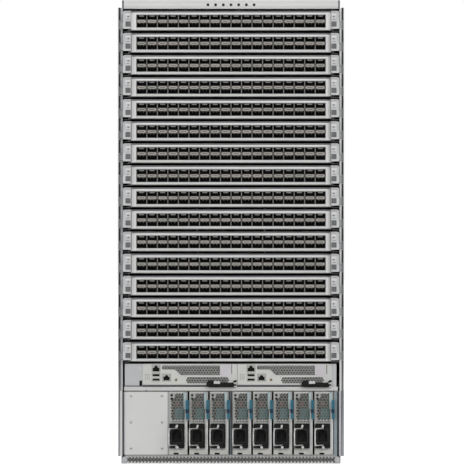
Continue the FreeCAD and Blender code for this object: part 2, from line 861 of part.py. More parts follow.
def supervisor_body(label):
    """Supervisor: a closed tray whose face has two air meshes, two jacks and two slots.

    Its own frame has x = 0 at its left edge and z = 0 at its underside."""
    made = body(label)
    shell = box_points("0", "0", "super_wide", "super_high")
    front_pad(made, [shell], "face", "super_deep")
    upper_mesh = [
        ("high_mesh_left", "high_mesh_step"),
        ("high_mesh_left", "high_mesh_top"),
        ("high_mesh_right", "high_mesh_top"),
        ("high_mesh_right", "high_mesh_low"),
        ("high_mesh_left + high_mesh_step_in + mesh_slant", "high_mesh_low"),
        ("high_mesh_left + high_mesh_step_in", "high_mesh_step"),
    ]
    middle = "(low_mesh_low + low_mesh_high) / 2"
    lower_mesh = [
        ("low_mesh_left", middle),
        ("low_mesh_left + low_mesh_point", "low_mesh_high"),
        ("low_mesh_right - low_mesh_point", "low_mesh_high"),
        ("low_mesh_right", middle),
        ("low_mesh_right - low_mesh_point", "low_mesh_low"),
        ("low_mesh_left + low_mesh_point", "low_mesh_low"),
    ]
    front_pocket(made, [upper_mesh, lower_mesh], "face", "vent_deep")
    jacks = [
        box_points("net_jack_left", "net_jack_rise", "net_jack_left + net_jack_wide",
                   "net_jack_rise + net_jack_high"),
        box_points("console_jack_left", "console_jack_rise", "console_jack_left + net_jack_wide",
                   "console_jack_rise + net_jack_high"),
    ]
    front_pocket(made, jacks, "face", "net_jack_deep")
    slots = []
    for row in ("0", "1"):
        low = f"memory_slot_rise + {row} * memory_slot_pitch"
        slots.append(box_points("memory_slot_left", low, "memory_slot_left + memory_slot_wide",
                                f"{low} + memory_slot_high"))
    front_pocket(made, slots, "face", "memory_slot_deep")
    seat = "(tongue_low - swing_gap)"
    ear = box_points("ejector_pivot - ejector_ear_in", f"{seat} - ear_high",
                     "ejector_pivot + ejector_ear_out", seat)
    front_pad(made, [ear], "face - ejector_proud - ejector_ear_front", "ejector_proud + ejector_ear_front")
    hold = "(ejector_pin_radius + pin_gap)"
    hole = box_points(f"ejector_pivot - {hold}", f"face - ejector_proud - {hold}",
                      f"ejector_pivot + {hold}", f"face - ejector_proud + {hold}")
    level_pocket(made, [hole], f"{seat} - ear_high", "ear_high")
    return made


def ejector_body(label):
    """Supervisor ejector: a raised finger grip, a long bar, a tongue and its pin."""
    made = body(label)
    bar_right = "(ejector_pivot - ejector_clear)"
    front = "face - ejector_proud - ejector_thick / 2"
    grip = [
        ("ejector_left", "ejector_low + grip_toe / 3"),
        ("ejector_left", "ejector_low + ejector_bar_high"),
        ("ejector_left + grip_rise", "ejector_low + ejector_high"),
        ("ejector_left + grip_wide - grip_rise", "ejector_low + ejector_high"),
        ("ejector_left + grip_wide", "ejector_low + ejector_bar_high"),
        (bar_right, "ejector_low + ejector_bar_high"),
        (bar_right, "ejector_low"),
        ("ejector_left + grip_toe", "ejector_low"),
    ]
    front_pad(made, [grip], front, "ejector_thick")
    tongue = box_points(f"{bar_right} - ejector_thick / 4", "tongue_low", "ejector_pivot + ejector_thick / 2",
                        "tongue_low + tongue_high")
    front_pad(made, [tongue], front, "ejector_thick")
    level_round(made, "Pad", "ejector_pivot", "face - ejector_proud", "ejector_pin_radius",
                "tongue_low - swing_gap - ear_high", "swing_gap + ear_high")
    return made


def supervisors():
    first = node(supervisor_body("supervisor_1"))
    lever = node(ejector_body("supervisor_1_ejector"))
    second = node(clone("supervisor_2", first))
    second_lever = node(clone("supervisor_2_ejector", lever))
    for number, pair in enumerate(((first, lever), (second, second_lever))):
        for thing in pair:
            place(thing, x=f"-super_first + {number} * super_pitch", z="super_low")


# ---- Power supplies ----


def supply_left(number):
    """Left edge of a supply, counted from 0, past the partition where there is one."""
    extra = " + partition_room" if number >= SIZES["partition_after"] else ""
    return f"-supply_first + {number} * supply_pitch{extra}"


def supply_body(label):
    """Power supply: framed air mesh over a proud inlet block with its socket.

    Its own frame has x = 0 at its left edge and z = 0 at its underside."""
    made = body(label)
    shell = box_points("0", "0", "supply_wide", "supply_high")
    front_pad(made, [shell], "face", "supply_deep")
    mesh = [
        ("frame_left", "intake_low"),
        ("inlet_right", "intake_low"),
        ("inlet_right", "intake_high"),
        ("intake_step_left", "intake_high"),
        ("intake_step_left", "intake_high - intake_step / 2"),
        ("frame_left", "intake_high - intake_step"),
    ]
    front_pocket(made, [mesh], "face", "mesh_deep")
    top = "(inlet_low + inlet_high)"
    block = [
        ("inlet_left + inlet_corner", "inlet_low"),
        ("inlet_right - inlet_corner", "inlet_low"),
        ("inlet_right", "inlet_low + inlet_corner"),
        ("inlet_right", f"{top} - inlet_corner"),
        ("inlet_right - inlet_corner", top),
        ("inlet_left + inlet_cut", top),
        ("inlet_left", f"{top} - inlet_cut"),
        ("inlet_left", "inlet_low + inlet_corner"),
    ]
    front_pad(made, [block], "face - inlet_proud", "inlet_proud")
    middle = "((inlet_left + inlet_right) / 2)"
    centre = "(inlet_low + inlet_high / 2)"
    socket = box_points(f"{middle} - socket_wide / 2", f"{centre} - socket_high / 2",
                        f"{middle} + socket_wide / 2", f"{centre} + socket_high / 2")
    front_pocket(made, [socket], "face - inlet_proud", "socket_deep")
    return made


def latch_seat(made):
    """Lug under the latch, with a square hole for its pin."""
    seat = "(latch_low - swing_gap)"
    lug = box_points("latch_left", f"{seat} - lug_high", "latch_left + latch_wide", seat)
    front_pad(made, [lug], "face - 2 * latch_pin_proud", "2 * latch_pin_proud")
    middle, hold = "(latch_left + latch_wide / 2)", "(latch_pin_radius + pin_gap)"
    hole = box_points(f"{middle} - {hold}", f"face - latch_pin_proud - {hold}",
                      f"{middle} + {hold}", f"face - latch_pin_proud + {hold}")
    level_pocket(made, [hole], f"{seat} - lug_high", "lug_high")


def bail_seats(made):
    """Bosses above and below the bail, with square holes for its turned ends."""
    bosses = []
    for bottom in ("boss_low", "boss_top"):
        bosses.append(box_points("bail_pivot - boss_wide / 2", bottom,
                                 "bail_pivot + boss_wide / 2", f"{bottom} + boss_high"))
    front_pad(made, bosses, "bail_front - boss_wide / 2", "bail_proud + boss_wide / 2")
    hold = "(bail_wire / 2 + pin_gap)"
    hole = box_points(f"bail_pivot - {hold}", f"bail_front - {hold}",
                      f"bail_pivot + {hold}", f"bail_front + {hold}")
    level_pocket(made, [hole], "boss_low", "boss_top + boss_high - boss_low")


def add_latch(made, root):
    """Thumb latch, thinner at its tip than at its root."""
    front, back = "(face - latch_reach)", f"(face - latch_back + {root})"
    plan = [
        ("latch_left", back),
        ("latch_left", f"{front} + latch_nose"),
        ("latch_left + latch_nose / 2", front),
        ("latch_left + latch_wide", front),
        ("latch_left + latch_wide", back),
    ]
    level_pad(made, [plan], "latch_low", "latch_high")


def bail_body(label, root):
    """Wire bail, drawn about its own pivot line and turned to its place of rest."""
    made = body(label)
    half = "bail_wire / 2"
    low, high = "bail_low", "(bail_low + bail_high)"
    outline = [
        (f"{half} + {root}", f"{low} - {half}"),
        ("-bail_reach + bail_bend", f"{low} - {half}"),
        (f"-bail_reach - {half}", f"{low} + bail_bend"),
        (f"-bail_reach - {half}", f"{high} - bail_bend"),
        ("-bail_reach + bail_bend", f"{high} + {half}"),
        (f"{half} + {root}", f"{high} + {half}"),
        (f"{half} + {root}", f"{high} - {half}"),
        (f"-bail_reach + bail_bend + {half}", f"{high} - {half}"),
        (f"-bail_reach + {half}", f"{high} - bail_bend - {half}"),
        (f"-bail_reach + {half}", f"{low} + bail_bend + {half}"),
        (f"-bail_reach + bail_bend + {half}", f"{low} + {half}"),
        (f"{half} + {root}", f"{low} + {half}"),
    ]
    front_pad(made, [outline], f"-{half}", "bail_wire")
    made.Placement.Rotation = FreeCAD.Rotation(FreeCAD.Vector(0, 0, 1), 0)
    made.setExpression("Placement.Rotation.Angle", bound("bail_rest"))
    return made


def power_supplies():
    """Eight supplies: the first has its latch and its bail as separate pieces."""
    first = node(supply_body("power_supply_1"))
    latch_seat(first)
    bail_seats(first)
    latch = node(body("power_supply_1_latch"))
    add_latch(latch, "0")
    level_round(latch, "Pad", "latch_left + latch_wide / 2", "face - latch_pin_proud",
                "latch_pin_radius", "latch_low - swing_gap - lug_high", "swing_gap + lug_high")
    bail = node(bail_body("power_supply_1_bail", "0"))
    for low in ("boss_low", "bail_low + bail_high + bail_wire / 2"):
        level_round(bail, "Pad", "0", "0", "bail_wire / 2", low, "boss_high + swing_gap")
    for thing in (first, latch):
        place(thing, x=supply_left(0), z="supply_low")
    place(bail, x=f"{supply_left(0)} + bail_pivot", y="bail_front", z="supply_low")
    whole = supply_body("power_supply_shell")
    add_latch(whole, "2 * latch_back")
    wire = bail_body("power_supply_wire", "bail_proud * 2")
    place(wire, x="bail_pivot", y="bail_front")
    joined = doc.addObject("Part::MultiFuse", "power_supply_whole")
    joined.Shapes = [whole, wire]
    for number in range(1, SIZES["supply_count"]):
        made = node(clone(f"power_supply_{number + 1}", joined))
        place(made, x=supply_left(number), z="supply_low")


# ---- Rear modules ----


def rotor_body(label):
    """Fan rotor, drawn about its own axis: a flatted hub with a pitched blade on each flat."""
    made = body(label)
    blades = SIZES["blade_count"]
    hub = ring_points(blades, "rotor_hub_radius", f"180 / {blades}")
    front_pad(made, [hub], "0", "rotor_deep")
    blade = [
        ("4", "-blade_sweep / 2 - blade_thick"),
        ("4", "-blade_sweep / 2"),
        ("rotor_deep - 4", "blade_sweep / 2 + blade_thick"),
        ("rotor_deep - 4", "blade_sweep / 2"),
    ]
    flat = f"(rotor_hub_radius * cos(180 / {blades}))"
    one = side_pad(made, blade, flat, f"rotor_tip_radius - {flat}")
    ring = made.newObject("PartDesign::PolarPattern", label + "_ring")
    ring.Originals = [one]
    ring.Axis = (origin_part(made, "Y_Axis"), [""])
    ring.setExpression("Occurrences", bound("blade_count"))
    ring.Angle = 360
    made.Tip = ring
    return made


def fan_height(number):
    return f"(tray_low + tray_high / 2 + {number} * fan_pitch)"


def tray_body(label):
    """Fan tray: a block with three eight-sided fan wells, a guard on each and a pull handle."""
    made = body(label)
    shell = box_points("-tray_wide / 2", "tray_low", "tray_wide / 2", "tray_low + tray_high")
    front_pad(made, [shell], "tray_front", "tray_deep")
    lowest = fan_height(-1)
    half, cut = "fan_window / 2", "(fan_window / 2 - fan_window_corner)"
    window = [
        (f"-{cut}", f"{lowest} - {half}"),
        (cut, f"{lowest} - {half}"),
        (half, f"{lowest} - {cut}"),
        (half, f"{lowest} + {cut}"),
        (cut, f"{lowest} + {half}"),
        (f"-{cut}", f"{lowest} + {half}"),
        (f"-{half}", f"{lowest} + {cut}"),
        (f"-{half}", f"{lowest} - {cut}"),
    ]
    well = front_pocket(made, [window], "rear - fan_well_deep", "fan_well_deep")
    repeat(made, well, "Z_Axis", "fan_count", "fan_pitch")
    guard_front = "rear - guard_thick"
    upright = box_points("-guard_bar / 2", f"{lowest} - {half} - guard_lap",
                         "guard_bar / 2", f"{lowest} + {half} + guard_lap")
    bar = front_pad(made, [upright], guard_front, "guard_thick")
    repeat(made, bar, "Z_Axis", "fan_count", "fan_pitch")
    centre = f"({fan_height(0)} + fan_pitch / 2)"
    low, high = f"({centre} - handle_high / 2)", f"({centre} + handle_high / 2)"
    handle = [
        ("rear", low),
        ("rear + rear_reach - handle_corner", low),
        ("rear + rear_reach", f"{low} + handle_corner"),
        ("rear + rear_reach", f"{high} - handle_corner"),
        ("rear + rear_reach - handle_corner", high),
        ("rear", high),
        ("rear", f"{high} - handle_bar"),
        ("rear + rear_reach - handle_bar", f"{high} - handle_bar"),
        ("rear + rear_reach - handle_bar", f"{low} + handle_bar"),
        ("rear", f"{low} + handle_bar"),
    ]
    side_pad(made, handle, "-handle_wide / 2", "handle_wide")
    return made


def fan_trays():
    """Three trays. The middle rotor of each turns; the others are fused to their guards."""
    whole = tray_body("fan_tray_block")
    still = rotor_body("fixed_rotor")
    turning = node(rotor_body("fan_tray_left_rotor"))
    front_round(turning, "Pad", [("0", "0", "spindle_radius")], "-spindle_long", "spindle_long")
    fixed = []
    for number in (-1, 1):
        copy = clone(f"fixed_rotor_{number + 2}", still)
        place(copy, y="rear - guard_thick - rotor_deep", z=fan_height(number))
        fixed.append(copy)
    joined = doc.addObject("Part::MultiFuse", "fan_tray_whole")
    joined.Shapes = [whole] + fixed
    for number, name in enumerate(("left", "middle", "right")):
        tray = node(clone(f"fan_tray_{name}", joined))
        place(tray, x=f"{number - 1} * tray_pitch")
        rotor = turning if number == 0 else node(clone(f"fan_tray_{name}_rotor", turning))
        place(rotor, x=f"{number - 1} * tray_pitch",
              y="rear - guard_thick - swing_gap - rotor_deep", z=fan_height(0))


def system_controllers():
    """Two controllers side by side under the fan trays, each with a jack at the rear."""
    made = body("system_controller_left")
    shell = box_points("-controller_wide / 2", "0", "controller_wide / 2", "super_high")
    front_pad(made, [shell], "rear - controller_deep", "controller_deep")
    jack = box_points("-controller_wide / 2 + controller_jack_left", "net_jack_rise / 2",
                      "-controller_wide / 2 + controller_jack_left + net_jack_wide",
                      "net_jack_rise / 2 + net_jack_high")
    front_pocket(made, [jack], "rear - net_jack_deep", "net_jack_deep")
    other = clone("system_controller_right", made)
    for thing, hand in ((made, "-1"), (other, "1")):
        node(thing)
        place(thing, x=f"{hand} * controller_pitch / 2", z="super_low")


def check_and_write():
    """Stops on a failed object, then writes each node's solids."""
    doc.recompute()
    for thing in doc.Objects:
        if "Invalid" in thing.State or "Error" in thing.State:
            raise RuntimeError(f"{thing.Label} is {thing.State}")
    for made in nodes:
        if made.Shape.isNull() or not made.Shape.isValid():
            raise RuntimeError(f"{made.Label} has no valid shape")
    os.makedirs("parts", exist_ok=True)
    for made in nodes:
        made.Shape.exportStep(f"parts/{made.Label}.step")
    print(len(nodes), "nodes written")


def main():
    make_sheet()
    side_wall("side_wall_left", "-1")
    side_wall("side_wall_right", "1")
    side_bracket("side_bracket_left", "-1")
    side_bracket("side_bracket_right", "1")
    top_cover()
    top_bezel()
    base_pan()
    intake_grille()
    supply_bay()
    blank_panel()
    supervisor_shelf()
    supervisor_fillers()
    rear_vent_panel()
    rear_deck()
    fabric_modules()
    line_cards()
    supervisors()
    power_supplies()
    fan_trays()
    system_controllers()
    check_and_write()


main()
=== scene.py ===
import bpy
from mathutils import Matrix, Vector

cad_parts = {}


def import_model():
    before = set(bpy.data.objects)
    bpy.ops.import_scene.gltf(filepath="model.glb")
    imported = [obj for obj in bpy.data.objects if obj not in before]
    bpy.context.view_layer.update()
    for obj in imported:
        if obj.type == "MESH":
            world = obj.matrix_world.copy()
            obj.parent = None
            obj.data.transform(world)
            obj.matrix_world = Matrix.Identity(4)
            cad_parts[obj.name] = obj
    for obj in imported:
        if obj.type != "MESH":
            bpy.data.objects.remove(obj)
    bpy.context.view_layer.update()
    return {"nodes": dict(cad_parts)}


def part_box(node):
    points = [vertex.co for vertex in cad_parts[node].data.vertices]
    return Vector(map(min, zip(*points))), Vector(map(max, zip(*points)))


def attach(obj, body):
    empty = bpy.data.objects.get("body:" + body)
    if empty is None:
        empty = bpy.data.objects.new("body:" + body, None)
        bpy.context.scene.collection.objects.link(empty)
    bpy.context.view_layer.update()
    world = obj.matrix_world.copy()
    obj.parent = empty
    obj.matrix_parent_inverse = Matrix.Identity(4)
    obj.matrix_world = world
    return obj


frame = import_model()

import math

import bmesh
import bpy
from mathutils import Matrix, Vector

# A 21-unit modular data switch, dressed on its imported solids. Lengths in the making of
# pieces are millimetres and turn to metres when a mesh is finished.

MM = 0.001
PI = math.pi

# ---- Where the solids are ----


def corners(node):
    """Lowest and highest corner of a solid, in millimetres."""
    low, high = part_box(node)
    return [value / MM for value in low], [value / MM for value in high]


FACE = corners("supply_blank_panel")[0][1]
REAR = corners("side_wall_left")[1][1]
CARD_LOW = [corners(f"line_card_{n:02d}")[0][2] for n in range(1, 17)]
SUPER_LEFT = [corners(f"supervisor_{n}")[0][0] for n in (1, 2)]
SUPPLY_WIDE = 40.4
SUPPLY_LEFT = [corners(f"power_supply_{n}")[1][0] - SUPPLY_WIDE for n in range(1, 9)]
SUPPLY_LOW = corners("supply_blank_panel")[0][2]
FOOT_TOP = corners("intake_grille")[1][2] - 0.4
TRAYS = {side: corners(f"fan_tray_{side}") for side in ("left", "middle", "right")}

# ---- Small helpers ----


def add(tree, kind, inputs=None, **settings):
    """Adds a node. An input is a value, or the socket that it is linked from."""
    made = tree.nodes.new(kind)
    for name, value in settings.items():
        setattr(made, name, value)
    for name, value in (inputs or {}).items():
        if isinstance(value, bpy.types.NodeSocket):
            tree.links.new(value, made.inputs[name])
        else:
            made.inputs[name].default_value = value
    return made


def linear(colour):
    """Linear colour of an sRGB hex value, such as "c8cacc"."""
    parts = [int(colour[n:n + 2], 16) / 255 for n in (0, 2, 4)]
    return [v / 12.92 if v <= 0.04045 else ((v + 0.055) / 1.055) ** 2.4 for v in parts] + [1.0]


# ---- Materials ----


# A finish turns from its first tone to its second between these values of the drift.
TONE_FROM, TONE_TO = 0.35, 0.65
BUMP_STRENGTH = 0.6


def surface(name, low, high, patch, grain, relief, rough, spread, metallic=0.0, specular=0.5):
    """A finish whose colour drifts between two tones over patches, with a grained surface.

    patch and grain are sizes in millimetres, relief is the height of the grain, and the
    roughness is spread about its middle value by the same grain."""
    made = bpy.data.materials.new(name)
    made.use_nodes = True
    tree = made.node_tree
    tree.nodes.clear()
    place = add(tree, "ShaderNodeTexCoord").outputs["Object"]
    drift = add(tree, "ShaderNodeTexNoise", {"Vector": place, "Scale": 1000 / patch, "Detail": 3.0})
    tone = add(tree, "ShaderNodeValToRGB", {"Fac": drift.outputs["Fac"]})
    for stop, position, colour in zip(tone.color_ramp.elements, (TONE_FROM, TONE_TO), (low, high)):
        stop.position = position
        stop.color = linear(colour)
    fine = add(tree, "ShaderNodeTexNoise", {"Vector": place, "Scale": 1000 / grain, "Detail": 2.0})
    gloss = add(tree, "ShaderNodeMapRange", {
        "Value": fine.outputs["Fac"], "To Min": rough - spread, "To Max": rough + spread,
    })
    lift = add(tree, "ShaderNodeBump", {
        "Height": fine.outputs["Fac"], "Strength": BUMP_STRENGTH, "Distance": relief * MM,
    })
    shade = add(tree, "ShaderNodeBsdfPrincipled", {
        "Base Color": tone.outputs["Color"], "Roughness": gloss.outputs["Result"],
        "Normal": lift.outputs["Normal"], "Metallic": metallic, "Specular IOR Level": specular,
    })
    add(tree, "ShaderNodeOutputMaterial", {"Surface": shade.outputs["BSDF"]})
    return made


# Heights in metres between which the brackets' coat goes from a painted sheen, paler at the foot, to its
# own dark colour.
PAINTED_SHEEN_FULL_BELOW = 0.02
PAINTED_SHEEN_GONE_ABOVE = 0.26


def bracket_paint():
    """Dark powder coat on the side brackets, with a painted sheen that turns it paler towards the foot."""
    made = surface(
        "powder_coated_steel_charcoal_painted_sheen", "18191b", "242527", 60, 0.9, 0.02, 0.55, 0.08, specular=0.2)
    tree = made.node_tree
    shade = next(node for node in tree.nodes if node.type == "BSDF_PRINCIPLED")
    place = next(node for node in tree.nodes if node.type == "TEX_COORD").outputs["Object"]
    split = add(tree, "ShaderNodeSeparateXYZ", {"Vector": place})
    rise = add(tree, "ShaderNodeMapRange", {
        "Value": split.outputs["Z"], "From Min": PAINTED_SHEEN_FULL_BELOW, "From Max": PAINTED_SHEEN_GONE_ABOVE,
    })
    coat = shade.inputs["Base Color"].links[0].from_socket
    # Painted sheen: the coat is mixed towards a pale grey near the foot, in place of the light it reflects
    # there.
    painted_sheen = add(tree, "ShaderNodeMixRGB", {
        "Fac": rise.outputs["Result"], "Color1": linear("96989c"), "Color2": coat,
    })
    tree.links.new(painted_sheen.outputs["Color"], shade.inputs["Base Color"])
    return made


# Polyester powder coat, light grey: soft sheen and a fine orange peel of about 1 mm.
PAINT = surface("powder_coated_steel_light_grey", "cbcbca", "d1d1cf", 90, 1.0, 0.02, 0.48, 0.06)
# The same coat on the supervisors' faces, a touch warmer.
FACE_PAINT = surface("powder_coated_steel_warm_grey", "bfc0bc", "c6c6c2", 40, 1.0, 0.02, 0.46, 0.06)
# The card faces' rims: pressed sheet with a brighter coat.
RIM_PAINT = surface("powder_coated_card_rim", "bfbfbe", "c8c8c7", 70, 0.9, 0.015, 0.42, 0.06)
# Painted highlight: a brighter coat for the light along the top edges of the cards, on the rims' ends
# beside the levers and on the intake's foot edge.
HIGHLIGHT_PAINT = surface("powder_coated_painted_highlight", "dadad9", "e2e2e1", 50, 0.9, 0.01, 0.36, 0.05)
# Mid grey coat of the walls and the trays, duller.
WALL_PAINT = surface("powder_coated_steel_mid_grey", "a6a7a9", "a9aaac", 70, 1.1, 0.02, 0.52, 0.08)
BRACKET_PAINT = bracket_paint()
# Coat of the supplies' frames, greyer than the blank panel beside them, and of their paler rails.
SUPPLY_PAINT = surface("powder_coated_supply_grey", "9d9e9b", "a3a4a1", 30, 0.9, 0.02, 0.5, 0.07)
SIDE_RAIL = surface("powder_coated_supply_rail", "b8b7b2", "c3c2bd", 20, 0.9, 0.02, 0.5, 0.07)
# Blued strip beside the supplies, in shade most of the time.
STRIP_PAINT = surface("powder_coated_steel_blue_grey", "747f84", "818c91", 60, 1.0, 0.02, 0.5, 0.07)
# Fillers beside the supervisors, in a cooler grey.
FILLER_PAINT = surface("powder_coated_filler_grey", "b0b1b3", "babbbd", 50, 1.0, 0.02, 0.5, 0.06)
# The dark coat of the supply bay's partition, used too as painted shade in seams and gaps; and a mid grey
# that is painted shade on edges and strips that lie in shade.
PARTITION_AND_SHADE_PAINT = surface("powder_coated_partition_and_painted_shade", "34373a", "3f4346", 40, 1.0, 0.02, 0.55, 0.07)
SHADE_GREY_PAINT = surface("painted_shade_grey", "6c6d70", "77787b", 30, 1.0, 0.02, 0.5, 0.06)
# Zinc-plated sheet of card trays: dull, with patches of spangle.
ZINC = surface("zinc_plated_sheet", "6e6e6c", "7a7a78", 8, 1.6, 0.01, 0.42, 0.1, metallic=0.25)
# Ribs between the ports, in bare zinc.
RIB_STEEL = surface("zinc_plated_port_rib", "686865", "747471", 9, 0.8, 0.01, 0.45, 0.08, metallic=0.2)
# Glass-filled nylon of inlets and ejectors: near black with a spark-eroded grain.
BLACK_NYLON = surface(
    "glass_filled_nylon_black", "101010", "171716", 12, 0.7, 0.05, 0.65, 0.1, specular=0.12)
# The same nylon worn paler around the inlets' sockets.
INLET_LIP = surface("glass_filled_nylon_lip", "1d1d1d", "252524", 12, 0.7, 0.04, 0.55, 0.08, specular=0.18)
# Moulded levers: light grey polycarbonate blend, smoother than the paint, and slate grips.
LEVER_PLASTIC = surface("moulded_polycarbonate_light_grey", "bcbdbd", "c5c6c6", 25, 0.8, 0.02, 0.4, 0.05)
GRIP_PLASTIC = surface("moulded_polycarbonate_slate", "5a5b5d", "666769", 10, 0.7, 0.03, 0.5, 0.06)
# Latches in teal nylon, with a darker and a paler moulding, and one deep in the duct's shade.
TEAL = surface("moulded_nylon_teal", "195465", "236376", 14, 0.7, 0.02, 0.42, 0.06, specular=0.35)
NAVY = surface("moulded_nylon_navy", "062030", "0b2a3d", 10, 0.7, 0.02, 0.45, 0.06, specular=0.25)
PALE_BLUE = surface("moulded_nylon_pale_blue", "9caeb2", "a9b9bc", 14, 0.7, 0.02, 0.45, 0.06)
TEAL_DEEP = surface("shaded_nylon_teal", "3a6a70", "4d7f83", 9, 0.8, 0.01, 0.5, 0.08)
# Rubber-sheathed wires behind the supplies' mesh.
ROSE = surface("shaded_wire_loom", "6d4f50", "7b5b5a", 5, 0.8, 0.01, 0.5, 0.08)
# Pierced steel of the air meshes, nickel plated and dull.
MESH_STEEL = surface("nickel_plated_mesh", "74756f", "83837c", 6, 0.8, 0.01, 0.5, 0.1, metallic=0.2)
FACE_MESH = surface("nickel_plated_face_mesh", "969792", "a1a29d", 6, 0.8, 0.01, 0.5, 0.1, metallic=0.2)
FOOT_MESH = surface("nickel_plated_foot_mesh", "b8b9b7", "c6c7c5", 6, 0.8, 0.01, 0.45, 0.1, metallic=0.2)
# Painted shade, near black: inside cages and wells, round the ports' mouths, in notches, slits, holes and
# screw drives, and on sheets behind vents; also the inlets' dark screws.
DARK = surface("near_black_steel_and_painted_shade", "060606", "0c0c0b", 9, 0.9, 0.01, 0.7, 0.1, specular=0.1)
# Painted shade: dark grey for plain steel seen through a mesh, in its shade, and for holes drawn as flat
# plates.
SHADE = surface("shaded_fan_duct", "38393b", "454648", 7, 0.8, 0.01, 0.5, 0.08)
# Shields of the jacks: tin plate.
TIN = surface("tin_plated_shield", "8e8e8a", "a0a09b", 4, 0.6, 0.01, 0.35, 0.08, metallic=0.5)
# Light guides: translucent acrylic over grey ink, and the ink alone between them.
BAND = surface("acrylic_light_guide", "8a8880", "9d9691", 36, 0.8, 0.01, 0.35, 0.05)
BAND_LINE = surface("acrylic_light_guide_shadow", "3c3b37", "474441", 30, 0.8, 0.01, 0.4, 0.05)
# Lamp lenses in smoked polycarbonate.
LENS = surface("smoked_polycarbonate_lens", "0b0b0c", "121213", 6, 0.6, 0.005, 0.3, 0.04, specular=0.3)
# Blank film plate in a pale plastic.
PALE_PLATE = surface("printed_film_blank", "bfbbbf", "c7c4c8", 30, 0.5, 0.01, 0.35, 0.04)
# Turned brass, drawn wire and plated screws.
BRASS = surface("turned_brass", "6e6148", "837557", 3, 0.4, 0.005, 0.35, 0.06, metallic=0.6)
STEEL_WIRE = surface("drawn_stainless_wire", "b0b1b0", "c2c3c2", 6, 0.5, 0.005, 0.3, 0.05, metallic=0.6)
SCREW_STEEL = surface("zinc_plated_screw", "9c9d9b", "acada9", 4, 0.5, 0.005, 0.35, 0.06, metallic=0.5)
# Aluminium of the fabric modules, mill finish.
ALUMINIUM = surface("mill_finish_aluminium", "a9aaab", "b7b8b9", 15, 0.8, 0.01, 0.4, 0.08, metallic=0.6)

NODE_FINISH = {
    "side_wall": WALL_PAINT, "side_bracket": BRACKET_PAINT, "top_cover": WALL_PAINT,
    "top_bezel": PAINT, "base_pan": WALL_PAINT, "intake_grille": SHADE,
    "supply_bay": STRIP_PAINT, "supply_blank": PAINT, "supervisor_shelf": PAINT,
    "supervisor_filler": FILLER_PAINT, "rear_vent": WALL_PAINT, "rear_deck": WALL_PAINT,
    "fabric": ALUMINIUM, "line_card": ZINC, "power_supply": SUPPLY_PAINT,
    "supervisor_1": FACE_PAINT, "supervisor_2": FACE_PAINT, "fan_tray": WALL_PAINT,
    "system_controller": WALL_PAINT,
}
NODE_FINISH_END = {
    "lever_left": LEVER_PLASTIC, "lever_right": LEVER_PLASTIC, "ejector": BLACK_NYLON,
    "latch": TEAL, "bail": STEEL_WIRE, "rotor": BLACK_NYLON,
}


def finish_of(node):
    """Finish of a solid, by the end of its name or else by its start."""
    for ending, made in NODE_FINISH_END.items():
        if node.endswith(ending):
            return made
    for start, made in NODE_FINISH.items():
        if node.startswith(start):
            return made
    raise KeyError(node)


for node_name, solid in frame["nodes"].items():
    solid.data.materials.clear()
    solid.data.materials.append(finish_of(node_name))

# ---- Making pieces ----


def piece(name, mesh, material, body):
    """A finished object at the origin, riding on a body."""
    mesh.materials.clear()
    mesh.materials.append(material)
    thing = bpy.data.objects.new(name, mesh)
    bpy.context.scene.collection.objects.link(thing)
    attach(thing, body)


def front_piece(name, mesh, material):
    """A finished piece on the painted front of the chassis."""
    piece(name, mesh, material, "chassis")


def evaluated_mesh(thing):
    """A plain mesh of an object with its modifiers or curve settings worked in."""
    bpy.context.view_layer.update()
    graph = bpy.context.evaluated_depsgraph_get()
    made = bpy.data.meshes.new_from_object(thing.evaluated_get(graph))
    bpy.data.objects.remove(thing)
    return made


def joined(meshes):
    """One mesh of several."""
    work = bmesh.new()
    for mesh in meshes:
        work.from_mesh(mesh)
        bpy.data.meshes.remove(mesh)
    made = bpy.data.meshes.new("joined")
    work.to_mesh(made)
    work.free()
    return made


def moved(mesh, x=0.0, y=0.0, z=0.0):
    """A copy of a mesh at another place."""
    made = mesh.copy()
    made.transform(Matrix.Translation(Vector((x, y, z)) * MM))
    return made


def mirrored(mesh):
    """A copy of a mesh on the other side of the middle plane, with its faces outwards."""
    made = mesh.copy()
    made.transform(Matrix.Scale(-1, 4, (1, 0, 0)))
    made.flip_normals()
    return made


def rounded(points, radius, steps=4):
    """An outline with its corners rounded."""
    made = []
    count = len(points)
    for n, spot in enumerate(points):
        here = Vector(spot)
        before = (Vector(points[n - 1]) - here).normalized()
        after = (Vector(points[(n + 1) % count]) - here).normalized()
        half = before.angle(after) / 2
        reach = radius / math.tan(half)
        start, end = here + before * reach, here + after * reach
        for step in range(steps + 1):
            t = step / steps
            made.append(tuple(start * (1 - t) ** 2 + here * 2 * t * (1 - t) + end * t ** 2))
    return made


def oblong(left, low, right, high, radius=0.0):
    """Outline of an upright rectangle, with its corners rounded where a radius is given."""
    points = [(left, low), (right, low), (right, high), (left, high)]
    return rounded(points, radius) if radius else points


def centred(half, low, high, radius=0.0):
    """Outline of a rectangle that reaches as far left as right of x = 0."""
    return oblong(-half, low, half, high, radius)


def disc(x, z, radius, count=16):
    """Outline of a disc."""
    return [
        (x + radius * math.cos(2 * PI * n / count), z + radius * math.sin(2 * PI * n / count))
        for n in range(count)
    ]


def winding(points):
    """Twice the area of an outline: above 0 where it runs anticlockwise."""
    count = len(points)
    return sum(
        points[n][0] * points[(n + 1) % count][1] - points[(n + 1) % count][0] * points[n][1]
        for n in range(count)
    )


